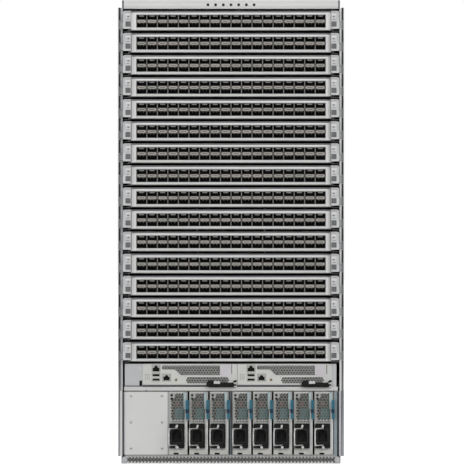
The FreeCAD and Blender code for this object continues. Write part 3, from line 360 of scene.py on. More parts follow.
def plate(front, back, outline, holes=(), edge=0.0):
    """A plate facing the front, from y = front to y = back, with holes and eased edges."""
    curve = bpy.data.curves.new("plate", "CURVE")
    curve.dimensions = "2D"
    curve.fill_mode = "BOTH"
    curve.extrude = abs(back - front) / 2 - edge
    curve.bevel_depth = edge
    curve.bevel_resolution = 1
    curve.offset = -edge
    for hole, points in [(False, outline)] + [(True, points) for points in holes]:
        turned = list(points) if (winding(points) > 0) != hole else list(points)[::-1]
        spline = curve.splines.new("POLY")
        spline.points.add(len(turned) - 1)
        for spot, (x, z) in zip(spline.points, turned):
            spot.co = (x, z, 0, 1)
        spline.use_cyclic_u = True
    thing = bpy.data.objects.new("plate", curve)
    bpy.context.scene.collection.objects.link(thing)
    made = evaluated_mesh(thing)
    made.transform(Matrix.Rotation(PI / 2, 4, "X"))
    made.transform(Matrix.Translation((0, (front + back) / 2, 0)))
    made.transform(Matrix.Scale(MM, 4))
    for corner in made.polygons:
        corner.use_smooth = False
    return made


def on_face(proud, deep, outline, holes=(), edge=0.0):
    """A plate at the face, from proud before its plane to deep behind it."""
    return plate(FACE - proud, FACE + deep, outline, holes, edge)


def dome(x, z, front, radius, rise, count=16, rings=3):
    """A shallow round head that stands towards the front from y = front."""
    work = bmesh.new()
    rows = []
    for ring in range(rings):
        turn = PI / 2 * ring / rings
        r, y = radius * math.cos(turn), front - rise * math.sin(turn)
        rows.append([work.verts.new((px, y, pz)) for px, pz in disc(x, z, r, count)])
    top = work.verts.new((x, front - rise, z))
    for low, high in zip(rows, rows[1:]):
        for n in range(count):
            work.faces.new((low[n], low[(n + 1) % count], high[(n + 1) % count], high[n]))
    for n in range(count):
        work.faces.new((rows[-1][n], rows[-1][(n + 1) % count], top))
    work.faces.new(list(reversed(rows[0])))
    bmesh.ops.recalc_face_normals(work, faces=work.faces)
    made = bpy.data.meshes.new("dome")
    work.to_mesh(made)
    work.free()
    made.transform(Matrix.Scale(MM, 4))
    return made


def wire(path, radius):
    """A round wire through points, closed at both ends."""
    curve = bpy.data.curves.new("wire", "CURVE")
    curve.dimensions = "3D"
    curve.bevel_depth = radius
    curve.bevel_resolution = 2
    curve.use_fill_caps = True
    spline = curve.splines.new("POLY")
    spline.points.add(len(path) - 1)
    for spot, place in zip(spline.points, path):
        spot.co = (*place, 1)
    thing = bpy.data.objects.new("wire", curve)
    bpy.context.scene.collection.objects.link(thing)
    made = evaluated_mesh(thing)
    made.transform(Matrix.Scale(MM, 4))
    return made


# ---- Repeats, made with Geometry Nodes ----


def group(name, inputs):
    """A Geometry Nodes tree with a mesh in, a mesh out and the named inputs."""
    tree = bpy.data.node_groups.new(name, "GeometryNodeTree")
    tree.interface.new_socket("Geometry", in_out="OUTPUT", socket_type="NodeSocketGeometry")
    for label, kind in {"Geometry": "Geometry", **inputs, "Material": "Material"}.items():
        tree.interface.new_socket(label, in_out="INPUT", socket_type="NodeSocket" + kind)
    return tree


def close_group(tree, instances, material):
    """Ends a tree: its instances made real and painted."""
    real = add(tree, "GeometryNodeRealizeInstances", {"Geometry": instances})
    painted = add(tree, "GeometryNodeSetMaterial", {
        "Geometry": real.outputs["Geometry"], "Material": material,
    })
    add(tree, "NodeGroupOutput", {"Geometry": painted.outputs["Geometry"]})
    return tree


def rows_tree():
    """Copies the incoming mesh in rows along X and columns along Z."""
    tree = group("rows_of_copies", {
        "Columns": "Int", "Column Pitch": "Float", "Rows": "Int", "Row Pitch": "Float",
    })
    given = add(tree, "NodeGroupInput").outputs
    along = add(tree, "ShaderNodeCombineXYZ", {"X": given["Column Pitch"]})
    up = add(tree, "ShaderNodeCombineXYZ", {"Z": given["Row Pitch"]})
    row = add(tree, "GeometryNodeMeshLine", {"Count": given["Columns"], "Offset": along.outputs[0]})
    column = add(tree, "GeometryNodeMeshLine", {"Count": given["Rows"], "Offset": up.outputs[0]})
    grid = add(tree, "GeometryNodeInstanceOnPoints", {
        "Points": column.outputs["Mesh"], "Instance": row.outputs["Mesh"],
    })
    spots = add(tree, "GeometryNodeRealizeInstances", {"Geometry": grid.outputs["Instances"]})
    copies = add(tree, "GeometryNodeInstanceOnPoints", {
        "Points": spots.outputs["Geometry"], "Instance": given["Geometry"],
    })
    return close_group(tree, copies.outputs["Instances"], given["Material"])


def comb_tree():
    """Sets a six-sided ring, facing the front, on each incoming point."""
    tree = group("comb_cells", {"Ring Radius": "Float", "Web": "Float", "Depth": "Float"})
    given = add(tree, "NodeGroupInput").outputs
    path = add(tree, "GeometryNodeCurvePrimitiveCircle", {
        "Resolution": 6, "Radius": given["Ring Radius"],
    })
    section = add(tree, "GeometryNodeCurvePrimitiveQuadrilateral", {
        "Width": given["Depth"], "Height": given["Web"],
    })
    ring = add(tree, "GeometryNodeCurveToMesh", {
        "Curve": path.outputs["Curve"], "Profile Curve": section.outputs["Curve"],
    })
    cells = add(tree, "GeometryNodeInstanceOnPoints", {
        "Points": given["Geometry"], "Instance": ring.outputs["Mesh"], "Rotation": (PI / 2, PI / 6, 0),
    })
    return close_group(tree, cells.outputs["Instances"], given["Material"])


ROWS = rows_tree()
COMB = comb_tree()


def grown(mesh, tree, values):
    """The plain mesh that a tree makes of a mesh."""
    thing = bpy.data.objects.new("seed", mesh)
    bpy.context.scene.collection.objects.link(thing)
    modifier = thing.modifiers.new("grow", "NODES")
    modifier.node_group = tree
    for socket in tree.interface.items_tree:
        if socket.in_out == "INPUT" and socket.name in values:
            modifier[socket.identifier] = values[socket.name]
    return evaluated_mesh(thing)


def rows(mesh, material, columns=1, pitch=0.0, levels=1, rise=0.0):
    """Copies of a mesh in columns at a pitch along X, and on levels that rise along Z."""
    return grown(mesh, ROWS, {
        "Columns": columns, "Column Pitch": pitch * MM, "Rows": levels, "Row Pitch": rise * MM,
        "Material": material,
    })


def inside(x, z, outline):
    """Whether a point lies within an outline."""
    crossings = 0
    count = len(outline)
    for n in range(count):
        (x0, z0), (x1, z1) = outline[n], outline[(n + 1) % count]
        if (z0 > z) != (z1 > z) and x < x0 + (z - z0) * (x1 - x0) / (z1 - z0):
            crossings += 1
    return crossings % 2 == 1


def comb(outline, pitch, web, front, depth, material):
    """A sheet of six-sided cells whose middles lie within an outline."""
    left, right = min(p[0] for p in outline), max(p[0] for p in outline)
    low, high = min(p[1] for p in outline), max(p[1] for p in outline)
    level = pitch * math.sqrt(3) / 2
    lines = int((high - low) / level) + 1
    spare = (high - low - (lines - 1) * level) / 2
    spots = []
    for line in range(lines):
        z = low + spare + line * level
        x = left + (pitch / 2 if line % 2 else 0)
        while x <= right:
            if inside(x, z, outline):
                spots.append((x * MM, (front + depth / 2) * MM, z * MM))
            x += pitch
    mesh = bpy.data.meshes.new("cells")
    mesh.from_pydata(spots, [], [])
    radius = (pitch / 2 - web / 4) / math.cos(PI / 6)
    return grown(mesh, COMB, {
        "Ring Radius": radius * MM, "Web": web / 2 * MM, "Depth": depth * MM, "Material": material,
    })


def above_level(mesh, level):
    """A mesh cut off flat at a level, with the cut closed."""
    work = bmesh.new()
    work.from_mesh(mesh)
    cut = bmesh.ops.bisect_plane(
        work, geom=work.verts[:] + work.edges[:] + work.faces[:], dist=0.01 * MM,
        plane_co=(0, 0, level * MM), plane_no=(0, 0, 1), clear_inner=True,
    )["geom_cut"]
    bmesh.ops.edgeloop_fill(work, edges=[part for part in cut if isinstance(part, bmesh.types.BMEdge)])
    bmesh.ops.recalc_face_normals(work, faces=work.faces)
    work.to_mesh(mesh)
    work.free()
    return mesh


def ribbed(left, low, right, high, front, back, ribs, floor):
    """A plate with upright ribs, for a finger to hold."""
    meshes = [plate(floor, back, oblong(left, low, right, high, 0.8), edge=0.15)]
    step = (right - left) / ribs
    for n in range(ribs):
        x = left + (n + 0.5) * step
        half = step * 0.28
        meshes.append(plate(front, floor, oblong(x - half, low + 0.8, x + half, high - 0.8)))
    return joined(meshes)


# ---- Line cards ----

PORTS = 18
PORT_PITCH = 21.2
PORT_FIRST = -PORT_PITCH * (PORTS - 1) / 2
PORT_END = 190.8
CARD_HALF = 201.0


def along_card(mesh, material, first=PORT_FIRST, count=PORTS):
    """Copies of a mesh drawn about x = 0, one for each column of ports."""
    return rows(moved(mesh, first), material, count, PORT_PITCH)


window = centred(PORT_END, 5.8, 31.8)
rim = on_face(0.9, -0.05, centred(CARD_HALF, 1.3, 35.4), [window], 0.3)
# Painted highlight: a bright strip along the rim's top edge.
bead_highlight = on_face(1.2, -0.05, centred(200.8, 33.9, 36.2), edge=0.15)
# The ends beside fixed levers reach a little further than those beside levers that swing.
# Painted light: the ends are in a brighter coat, against the shade that the levers' step casts beside
# them.
rim_end = on_face(1.0, -0.8, oblong(-CARD_HALF, 1.4, -191.6, 33.6))
rim_end_wide = on_face(1.0, -0.1, oblong(-CARD_HALF - 0.5, 1.4, -191.6, 33.6))
rim_ends = joined([moved(rim_end), mirrored(rim_end)])
rim_ends_wide = joined([moved(rim_end_wide), mirrored(rim_end_wide)])
rib = on_face(0.85, 0.2, centred(0.65, 6.3, 31.9), edge=0.2)
# Painted shade: the lip, set back above the rim, in a mid grey.
lip = on_face(-3.4, 3.95, centred(CARD_HALF, 35.9, 39.2), edge=0.15)
# Painted shade: near-black frames round the ports' mouths.
frames = along_card(joined([
    on_face(0.15, 0.05, centred(9.7, 6.3, 15.3), [centred(8.5, 7.4, 15.0)]),
    on_face(0.15, 0.05, centred(9.7, 22.1, 31.7), [centred(8.5, 22.4, 31.0)]),
]), DARK)
ribs = along_card(rib, RIB_STEEL, PORT_FIRST + PORT_PITCH / 2, PORTS - 1)


def cage(low, high):
    """Lining of a port, open at the front and shut at the back."""
    mouth = centred(8.45, low + 0.45, high - 0.45)
    wall = on_face(-0.2, 27, centred(8.95, low, high), [mouth])
    back = on_face(-25.4, 26.6, centred(8.6, low + 0.3, high - 0.3))
    return joined([wall, back])


# Painted shade: the ports' linings are near black.
cages = along_card(joined([cage(22.3, 31.15), cage(7.25, 15.1)]), DARK)
seats = along_card(joined([
    on_face(-12, 25.6, centred(6.8, 24.4, 28.2), edge=0.3),
    on_face(-12, 25.6, centred(6.8, 9.2, 13.0), edge=0.3),
]), BLACK_NYLON)
upper_tab = [(-5.6, 31.1), (-4.6, 28.2), (4.6, 28.2), (5.6, 31.1)]
lower_tabs = [oblong(x - 0.75, 13.3, x + 0.75, 15.1) for x in (-3.5, 3.5)]
tabs = along_card(joined(
    [on_face(-0.5, 5, upper_tab, edge=0.15)]
    + [on_face(-0.5, 4, outline, edge=0.1) for outline in lower_tabs]
), RIB_STEEL)
bed = on_face(1.15, -0.95, centred(PORT_END, 15.35, 22.05))
guide_outline = rounded([
    (-9.1, 18.7), (-7.0, 21.6), (7.0, 21.6), (9.1, 18.7), (7.0, 15.8), (-7.0, 15.8),
], 0.5, 2)
guides = along_card(on_face(1.8, -0.9, guide_outline, edge=0.2), BAND)
line = on_face(1.9, -1.7, centred(5.2, 18.1, 19.3, 0.4))
lines = along_card(line, BAND_LINE)
ovals = along_card(joined([
    on_face(1.95, -1.7, oblong(x - 1.6, z - 0.45, x + 1.6, z + 0.45, 0.4))
    for x in (-3.4, 3.4) for z in (16.9, 20.5)
]), TIN)

# Levers are drawn on the left, with y = 0 at the front of the solid lever.
LEVER_OUT, LEVER_IN = -217.5, -201.6
LEVER_LOW, LEVER_HIGH = 3.2, 39.3
cap_corners = oblong(LEVER_OUT, LEVER_LOW, LEVER_IN, LEVER_HIGH)
tight, wide = rounded(cap_corners, 0.6, 2), rounded(cap_corners, 4.6, 4)
# Three tight corners, and a wide one at the outer top.
cap = plate(-0.9, 0.1, tight[:9] + wide[15:], edge=0.2)
# Painted highlight: a band of the brighter coat high on the cap.
cap_highlight = plate(-1.0, -0.8, oblong(-212.4, 30.4, -202.0, 33.7, 0.6), edge=0.05)
# Painted shade: the rounded top of the cap, in shade, in a duller grey.
crown_shade_outline = rounded([(-216.4, 34.4), (-202.0, 34.4), (-202.0, 38.9), (-214.0, 38.9)], 0.4, 2)
crown_shade = plate(-1.0, -0.8, crown_shade_outline, edge=0.05)
step_outline = rounded([(-217.0, 19.8), (-212.9, 19.8), (-212.9, 34.9), (-217.0, 34.9)], 0.5, 2)
edge_step = plate(-1.3, -0.8, step_outline, edge=0.15)
grip = ribbed(-212.3, 7.4, -202.1, 18.0, -1.7, -0.7, 5, -1.2)
toe_face = plate(-0.25, 0.0, oblong(-222.4, 5.1, -217.8, 17.7))
# Painted shade: the toe's dark tip, in its slot.
toe_shade = plate(-0.25, 0.0, oblong(-225.5, 5.1, -222.7, 17.7))
marks = joined([
    plate(-1.05, -0.85, oblong(-210.4, 21.4, -204.4, 22.6, 0.5), edge=0.03),
    plate(-1.05, -0.85, oblong(-208.6, 26.4, -204.4, 28.8, 0.5), edge=0.03),
])


def lever_looks(name, side, front, low, rider):
    """Cap, grip and toe of one cam lever, whose solid has its front at y = front."""
    toe = FACE - 0.5
    for part, mesh, material, y in (
        ("cap", cap, LEVER_PLASTIC, front), ("bead_highlight", cap_highlight, PAINT, front),
        ("crown_shade", crown_shade, WALL_PAINT, front), ("edge", edge_step, FILLER_PAINT, front),
        ("grip", grip, GRIP_PLASTIC, front), ("toe_face", toe_face, WALL_PAINT, toe),
        ("toe_shade", toe_shade, SHADE_GREY_PAINT, toe), ("marks", marks, GRIP_PLASTIC, front),
    ):
        turned = mirrored(mesh) if side == "right" else mesh
        piece(f"{name}_{part}", moved(turned, y=y, z=low), material, rider)


for n, low in enumerate(CARD_LOW):
    body = f"line_card_{n + 1:02d}"
    # The levers of the first card are solids of their own, which swing.
    swings = n == 0
    for part, mesh, material in (
        ("rim", rim, RIM_PAINT), ("lip", lip, SHADE_GREY_PAINT), ("port_frames", frames, DARK),
        ("bead_highlight", bead_highlight, HIGHLIGHT_PAINT), ("rim_ends", rim_ends if swings else rim_ends_wide, HIGHLIGHT_PAINT),
        ("ribs", ribs, RIB_STEEL), ("cages", cages, DARK), ("port_seats", seats, BLACK_NYLON),
        ("port_tabs", tabs, RIB_STEEL), ("guide_bed", bed, BAND_LINE), ("light_guides", guides, BAND),
        ("guide_lines", lines, BAND_LINE), ("guide_lamps", ovals, TIN),
    ):
        piece(f"{body}_{part}", moved(mesh, z=low), material, body)
    front = corners(body + "_lever_left" if swings else body)[0][1]
    for side in ("left", "right"):
        name = f"{body}_lever_{side}"
        rider, slot = (name, "lever_plastic") if swings else (body, "card_metal")
        lever_looks(name, side, front, low, rider)

# ---- Top bezel ----

bezel_low, bezel_high = corners("top_bezel")
LAMP_Z = bezel_low[2] + 7.8
LAMP_PITCH = 15.5
lamps = [dome(LAMP_PITCH * n, LAMP_Z, FACE - 0.05, 2.9, 0.9, 20) for n in range(-3, 4)]
front_piece("bezel_lamp_lenses", joined(lamps), LENS)
# Painted shade: dark strips at the bezel's ends, where its return lies in shade.
end_shade_outline = oblong(bezel_low[0] + 0.4, bezel_low[2] + 0.5, bezel_low[0] + 3.4, bezel_high[2] - 0.5)
end_shade = on_face(0.12, 0.1, end_shade_outline)
front_piece("bezel_end_shade", joined([moved(end_shade), mirrored(end_shade)]), PARTITION_AND_SHADE_PAINT)
# Painted shade: the crease as a grey line.
crease_outline = oblong(bezel_low[0] + 3.6, bezel_low[2] + 4.1, bezel_high[0] - 3.6, bezel_low[2] + 4.5)
crease = on_face(0.25, 0.1, crease_outline, edge=0.05)
front_piece("bezel_crease", crease, WALL_PAINT)

# ---- Supervisors ----


def supervisor_looks(number, left):
    """Jacks, slots, meshes and small hardware of one supervisor's face.

    They are drawn with x from the supervisor's left side and z from the floor."""
    body = f"supervisor_{number}"
    low = corners(body)[0][2]

    def made(name, meshes, material):
        mesh = joined([moved(mesh, x=left) for mesh in meshes])
        piece(f"{body}_{name}", mesh, material, body)

    def jack(x, z, wide, high):
        """Outline of a jack's mouth, with the stepped slot for the plug's catch at the top."""
        steps = ((0, 0), (1, 0), (1, 0.62), (0.76, 0.62), (0.76, 0.82), (0.64, 0.82), (0.64, 1),
                 (0.36, 1), (0.36, 0.82), (0.24, 0.82), (0.24, 0.62), (0, 0.62))
        return [(x + wide * across, z + high * up) for across, up in steps]

    net, console = jack(20.6, 184.6, 13.6, 13.0), jack(42.4, 167.4, 12.4, 11.6)
    bays = [oblong(20.9, 175.6, 34.2, 180.0), oblong(20.9, 167.0, 34.2, 171.4)]
    made("jack_shields", [
        on_face(0.5, 0.1, oblong(18.4, 183.2, 36.4, 199.0, 0.6), [net], 0.15),
        on_face(0.5, 0.1, oblong(39.2, 165.0, 58.0, 181.2, 0.6), [console], 0.15),
        on_face(0.5, 0.1, oblong(18.8, 165.0, 36.0, 182.0, 0.6), bays, 0.15),
    ], TIN)
    # Painted shade: near-black plates deep in the jacks' mouths.
    made("jack_wells", [
        on_face(-0.05, 0.35, oblong(19.2, 183.8, 35.6, 198.4)),
        on_face(-0.05, 0.35, oblong(40.2, 165.6, 57.0, 180.6)),
        on_face(-0.05, 0.35, oblong(19.8, 165.8, 35.0, 181.2)),
    ], DARK)
    made("slot_tongues", [
        on_face(0.3, 0.15, oblong(22.6, 177.2, 32.4, 178.2)),
        on_face(0.3, 0.15, oblong(22.6, 168.6, 32.4, 169.6)),
    ], BLACK_NYLON)
    made("bay_frames", [
        on_face(0.6, 0, oblong(18.8, 171.9, 36.0, 173.3)),
        on_face(0.6, 0, oblong(18.8, 174.2, 36.0, 175.2)),
    ], RIM_PAINT)
    made("lamps", [
        dome(x, z, FACE - 0.05, 0.85, 0.3, 10, 2)
        for x in (5.8, 9.6, 13.3) for z in (179.4, 176.2, 173.0, 169.8)
    ], GRIP_PLASTIC)
    upper = [(38.6, 189.2), (38.6, 198.2), (155.6, 198.2), (155.6, 176.8), (80.0, 176.8), (76.0, 179.6),
             (62.6, 180.8), (61.4, 189.2)]
    lower = [(86.2, 160.2), (89.8, 163.4), (86.8, 167.0), (91.0, 173.6), (172.0, 173.6), (175.4, 169.0),
             (171.8, 164.4), (174.6, 160.2)]
    for name, outline in (("upper", upper), ("lower", lower)):
        made(name + "_mesh", [comb(outline, 5.6, 2.15, FACE + 0.4, 0.8, FACE_MESH)], FACE_MESH)
        made(name + "_mesh_shade", [on_face(-2.1, 2.7, outline)], SHADE)
    bore = (67.7, 168.6)
    made("connector", [
        dome(*bore, FACE - 0.05, 2.6, 1.2),
        on_face(3.2, 0, disc(*bore, 1.7), [disc(*bore, 1.0)], 0.1),
    ], BRASS)
    # Painted shade: a near-black disc in the connector's bore.
    made("connector_hole", [on_face(2.9, -0.1, disc(*bore, 1.02, 12))], DARK)
    film = on_face(0.35, 0, oblong(156.8, 175.2, 177.2, 198.6, 0.5), edge=0.1)
    made("label_plate", [film], PALE_PLATE)
    # Painted shade: the slit as a near-black strip.
    made("slit", [on_face(0.15, 0, oblong(179.3, 180.4, 180.5, 200.0))], DARK)
    made("thumb_screw", [
        dome(86.4, 174.6, FACE - 0.05, 1.1, 0.6), dome(72.3, 179.2, FACE - 0.05, 0.9, 0.5),
    ], SCREW_STEEL)
    clip = [(143.8, 160.6), (143.8, 165.4), (145.2, 166.6), (148.6, 166.6), (150.1, 165.6),
            (151.6, 166.6), (155.0, 166.6), (156.4, 165.4), (156.4, 160.6)]
    piece(body + "_clip", moved(on_face(7.7, -6.8, rounded(clip, 0.4, 2), edge=0.2), x=left),
          RIM_PAINT, body + "_ejector")
    hook = [(168.6, 158.6), (173.8, 163.2), (186.2, 165.4), (186.2, 163.6), (175.6, 161.2), (171.2, 157.6)]
    made("hook", [on_face(1.5, 0, rounded(hook, 0.4, 2), edge=0.2)], SCREW_STEEL)
    bush = rounded([(181.0, 163.0), (184.6, 167.2), (190.0, 168.0), (190.0, 164.4)], 0.8, 3)
    made("hook_bush", [on_face(1.9, 0, bush, edge=0.3)], BLACK_NYLON)
    pin = on_face(4.2, -0.2, oblong(184.8, low + 0.3, 189.9, 162.4, 1.6), edge=0.5)
    made("hinge_pin", [pin], RIM_PAINT)
    # Painted shade: a dark line along the gap between the supervisor's foot and the shelf.
    made("foot_shade_line", [on_face(0.9, 0, oblong(0.3, 154.5, 190.2, 158.4))], PARTITION_AND_SHADE_PAINT)
    made("top_line", [on_face(0.5, 0, oblong(0.6, 199.4, 189.6, 200.3), edge=0.1)], RIM_PAINT)


for n, left in enumerate(SUPER_LEFT):
    supervisor_looks(n + 1, left)

# ---- Shelf and fillers ----

shelf_low, shelf_high = corners("supervisor_shelf")
shelf_left, shelf_right = shelf_low[0] + 6, shelf_high[0] - 6
bars = joined([
    on_face(0.5, 0.5, oblong(shelf_left, low, shelf_right, high), edge=0.2)
    for low, high in ((151.4, 153.8), (148.2, 151.0))
])
front_piece("shelf_bars", bars, PAINT)
# Painted shade: grey strips in the shelf's grooves.
groove_shade = joined([
    on_face(0.1, 0.3, oblong(shelf_left, 145.8, shelf_right, 148.3)),
    on_face(0.2, 0.3, oblong(shelf_left, 150.9, shelf_right, 151.5)),
])
front_piece("shelf_groove_shade", groove_shade, SUPPLY_PAINT)
front_piece("shelf_pin", dome(-170.6, shelf_low[2] + 1.9, FACE + 0.3, 1.5, 0.8), LENS)
front_piece("filler_screw", dome(-184.0, 191.7, FACE, 2.2, 0.9), RIM_PAINT)
filler_low, filler_high = corners("supervisor_filler_left")
# Painted shade: a dark line under the filler, at the gap above the shelf.
foot = on_face(0.2, 0, oblong(filler_low[0] + 0.3, 154.4, filler_high[0] - 0.3, 157.4))
front_piece("filler_foot_shade", foot, SHADE_GREY_PAINT)
# Painted shade: the notch as a near-black plate.
notch = on_face(0.3, 0, oblong(-184.4, 156.4, -179.0, 167.0, 0.5))
front_piece("filler_notch", notch, DARK)

# ---- Blank panel ----

screws, drives = [], []
for x in (-201.4, -139.0):
    for z in (135.7, 83.2, 30.6):
        screws.append(dome(x, z, FACE, 3.0, 1.0))
        for wide, high in ((1.4, 0.3), (0.3, 1.4)):
            drives.append(on_face(1.15, -0.8, oblong(x - wide, z - high, x + wide, z + high)))
flanges = [on_face(-0.6, 1.8, oblong(left, 18.2, right, 144.0))
           for left, right in ((-128.5, -125.7), (-215.6, -212.8))]
front_piece("blank_flanges", joined(flanges), WALL_PAINT)
front_piece("blank_screws", joined(screws), SCREW_STEEL)
# Painted shade: the screws' cross drives as near-black plates.
front_piece("blank_screw_drives", joined(drives), DARK)

# ---- Power supplies ----

MESH_STEP = 6.3


def supply_looks(number, left):
    """Mesh, lamps, inlet and latch on one power supply's face.

    They are drawn with x from the supply's left side and z from its foot. The latch of the
    first supply is a solid of its own, which moves."""
    body = f"power_supply_{number}"

    def made(name, meshes, material, rider=body, slot="supply_metal"):
        mesh = joined([moved(mesh, x=left, z=SUPPLY_LOW) for mesh in meshes])
        piece(f"{body}_{name}", mesh, material, rider)

    opening = [(4.6, 69.4), (31.4, 69.4), (31.4, 123.2), (12.9, 123.2), (12.9, 115.6), (4.6, 107.8)]
    made("mesh", [comb(opening, MESH_STEP, 1.6, FACE + 0.9, 0.9, MESH_STEEL)], MESH_STEEL)
    made("mesh_shade", [on_face(-4.0, 4.7, opening)], SHADE)
    duct = [(12.5, 71.0), (31.0, 71.0), (31.0, 93.0), (14.0, 93.0), (12.5, 88.0)]
    made("duct", [on_face(-3.4, 3.9, duct)], TEAL_DEEP)
    made("wire_shade", [on_face(-3.3, 3.8, oblong(13.4, 96.0, 19.6, 106.0, 1.5))], ROSE)
    low_teeth, high_teeth = [5.6 + MESH_STEP * n for n in range(5)], [14.2 + 5.6 * n for n in range(4)]
    side_teeth = [72.6 + MESH_STEP * n for n in range(6)]
    teeth = [[(x - 1.7, 68.6), (x + 1.7, 68.6), (x, 71.9)] for x in low_teeth]
    teeth += [[(x - 1.7, 123.9), (x, 120.8), (x + 1.7, 123.9)] for x in high_teeth]
    teeth += [[(3.9, z - 1.7), (6.9, z), (3.9, z + 1.7)] for z in side_teeth]
    made("mesh_edge", [on_face(0.35, 0.6, tooth) for tooth in teeth], SIDE_RAIL)
    made("lamps", [dome(5.8, z, FACE - 0.05, 2.7, 0.4) for z in (119.4, 112.6)], LENS)
    # Painted shade: the row of holes as dark grey discs.
    holes = [on_face(0.1, 0.1, disc(8.2 + 4.2 * n, 66.2, 1.5, 6)) for n in range(6)]
    made("mesh_low_holes", holes, SHADE)
    strip = on_face(1.6, 0.2, oblong(29.7, 91.6, 34.7, 124.6, 0.8), edge=0.3)
    made("guide_strip", [strip], PALE_BLUE)
    latch = (body, "supply_metal") if number > 1 else (body + "_latch", "latch_plastic")
    made("latch_face", [
        on_face(15.7, -14.9, oblong(34.4, 92.0, 40.3, 110.4, 0.8), edge=0.3),
        on_face(15.7, -14.9, oblong(34.4, 71.9, 40.3, 83.8, 0.8), edge=0.3),
    ], TEAL, *latch)
    waist = on_face(15.9, -14.9, oblong(33.6, 83.8, 40.3, 92.0, 0.6), edge=0.3)
    made("latch_waist", [waist], NAVY, *latch)
    outline = rounded([(0.9, 12.9), (31.6, 12.9), (31.6, 62.9), (0.9, 62.9)], 3.4, 4)
    socket = rounded([
        (6.4, 25.4), (26.1, 25.4), (26.1, 46.4), (22.2, 50.4), (10.3, 50.4), (6.4, 46.4),
    ], 0.8, 2)
    made("inlet_face", [on_face(6.3, -5.95, outline, [socket], 0.3)], BLACK_NYLON)
    lip_outline = rounded([(4.6, 23.6), (27.9, 23.6), (27.9, 52.2), (4.6, 52.2)], 2.0, 3)
    made("inlet_lip", [on_face(6.55, -6.2, lip_outline, [socket], 0.3)], INLET_LIP)
    blades = [oblong(x - 0.9, 34.0, x + 0.9, 41.0) for x in (11.6, 20.9)]
    blades.append(oblong(15.35, 42.0, 17.15, 47.0))
    made("socket_floor", [on_face(-11.0, 11.9, oblong(6.0, 25.0, 26.5, 50.8))], INLET_LIP)
    bore = oblong(6.3, 25.3, 26.2, 50.4)
    made("socket_wall", [on_face(5.9, 11.2, oblong(5.95, 24.95, 26.55, 50.75), [bore])], INLET_LIP)
    made("blades", [on_face(-1.5, 11.5, blade, edge=0.2) for blade in blades], BLACK_NYLON)
    made("inlet_screws", [dome(x, 17.2, FACE - 6.25, 1.5, 0.3, 12) for x in (4.6, 27.9)], DARK)
    upper_knob = [(14.0, 54.2), (17.8, 54.2), (19.2, 59.8), (15.4, 60.8)]
    lower_knob = [(14.6, 12.4), (20.6, 12.4), (19.4, 17.2), (15.4, 17.6)]
    made("knobs", [
        on_face(11.6, -6.2, rounded(knob, 1.3, 4), edge=0.5) for knob in (upper_knob, lower_knob)
    ], RIM_PAINT)
    made("foot_plate", [on_face(0.5, 0, oblong(0.3, 0.2, 37.4, 10.6), edge=0.15)], SIDE_RAIL)
    # Painted shade: the notch as a near-black plate.
    made("foot_notch", [on_face(0.7, 0, oblong(9.8, 0.3, 19.8, 3.7, 0.4))], DARK)
    made("head_plate", [on_face(0.45, 0, oblong(0.3, 124.4, 30.2, 126.3), edge=0.1)], RIM_PAINT)
    made("side_rail", [on_face(0.35, 0, oblong(32.2, 10.7, 37.3, 88.0), edge=0.1)], PAINT)


for n, left in enumerate(SUPPLY_LEFT):
    supply_looks(n + 1, left)

# Round wires over the squared ones, from knob to knob around the reach of each bail.
bail_low, bail_high = corners("power_supply_1_bail")
reach_x, reach_y = bail_low[0] + 1.3, bail_low[1] + 1.3
root_x, root_y = bail_high[0] - 2.2, bail_high[1] - 1.3
bail_path = [
    (root_x, root_y, bail_low[2] + 4.0), (root_x, root_y, bail_low[2] + 5.7),
    (reach_x, reach_y, bail_low[2] + 5.7), (reach_x, reach_y, bail_high[2] - 5.7),
    (root_x, root_y, bail_high[2] - 5.7), (root_x, root_y, bail_high[2] - 4.0),
]
for n, left in enumerate(SUPPLY_LEFT):
    name = f"power_supply_{n + 1}"
    rider, slot = (name, "supply_metal") if n else (name + "_bail", "bail_wire")
    sleeve = moved(wire(bail_path, 1.5), x=left - SUPPLY_LEFT[0])
    piece(name + "_bail_sleeve", sleeve, STEEL_WIRE, rider)

# ---- Strips beside the supplies, and the intake at the foot ----

partition = corners("power_supply_4")[0][0]
divider = on_face(-0.3, 2.0, oblong(partition - 3.4, 18.4, partition - 0.6, 144.0))
piece("partition_front", divider, PARTITION_AND_SHADE_PAINT, "chassis")
strip = on_face(-0.2, 1.0, oblong(207.3, 16.4, 211.2, 144.2), edge=0.1)
piece("right_strip", strip, STRIP_PAINT, "chassis")

CELL = 6.85
TOOTH_FIRST = -206.95
TEETH = 61
TOOTHED_END = 209.0
INTAKE_END = 209.2
intake = centred(INTAKE_END, 1.6, 13.6)
# Painted shade: a dark grey sheet behind the intake's mesh.
front_piece("intake_shade_backing", on_face(0.15, 0.05, intake), SHADE)
cells = above_level(comb(intake, CELL, 2.3, FACE - 0.75, 0.6, MESH_STEEL), 0.3)
front_piece("intake_mesh", cells, MESH_STEEL)
end_outline = [
    (-219.4, 0.6), (-208.0, 0.6), (-209.8, 3.6), (-208.0, 7.0), (-209.8, 10.4), (-208.0, FOOT_TOP),
    (-215.0, FOOT_TOP), (-219.4, 11.4),
]
end = on_face(0.9, 0, end_outline, edge=0.2)
front_piece("intake_ends", joined([moved(end), mirrored(end)]), FILLER_PAINT)


def toothed(root, tip, edge):
    """Outline of a strip between the end plates, with a tooth between one cell and the next."""
    ends = (TOOTHED_END, -TOOTHED_END) if tip > root else (-TOOTHED_END, TOOTHED_END)
    teeth = []
    for n in range(TEETH):
        x = TOOTH_FIRST + CELL * n
        teeth += [(x - 2.6, root), (x - 0.5, tip), (x + 0.5, tip), (x + 2.6, root)]
    return [(x, edge) for x in ends] + (teeth if tip > root else teeth[::-1])


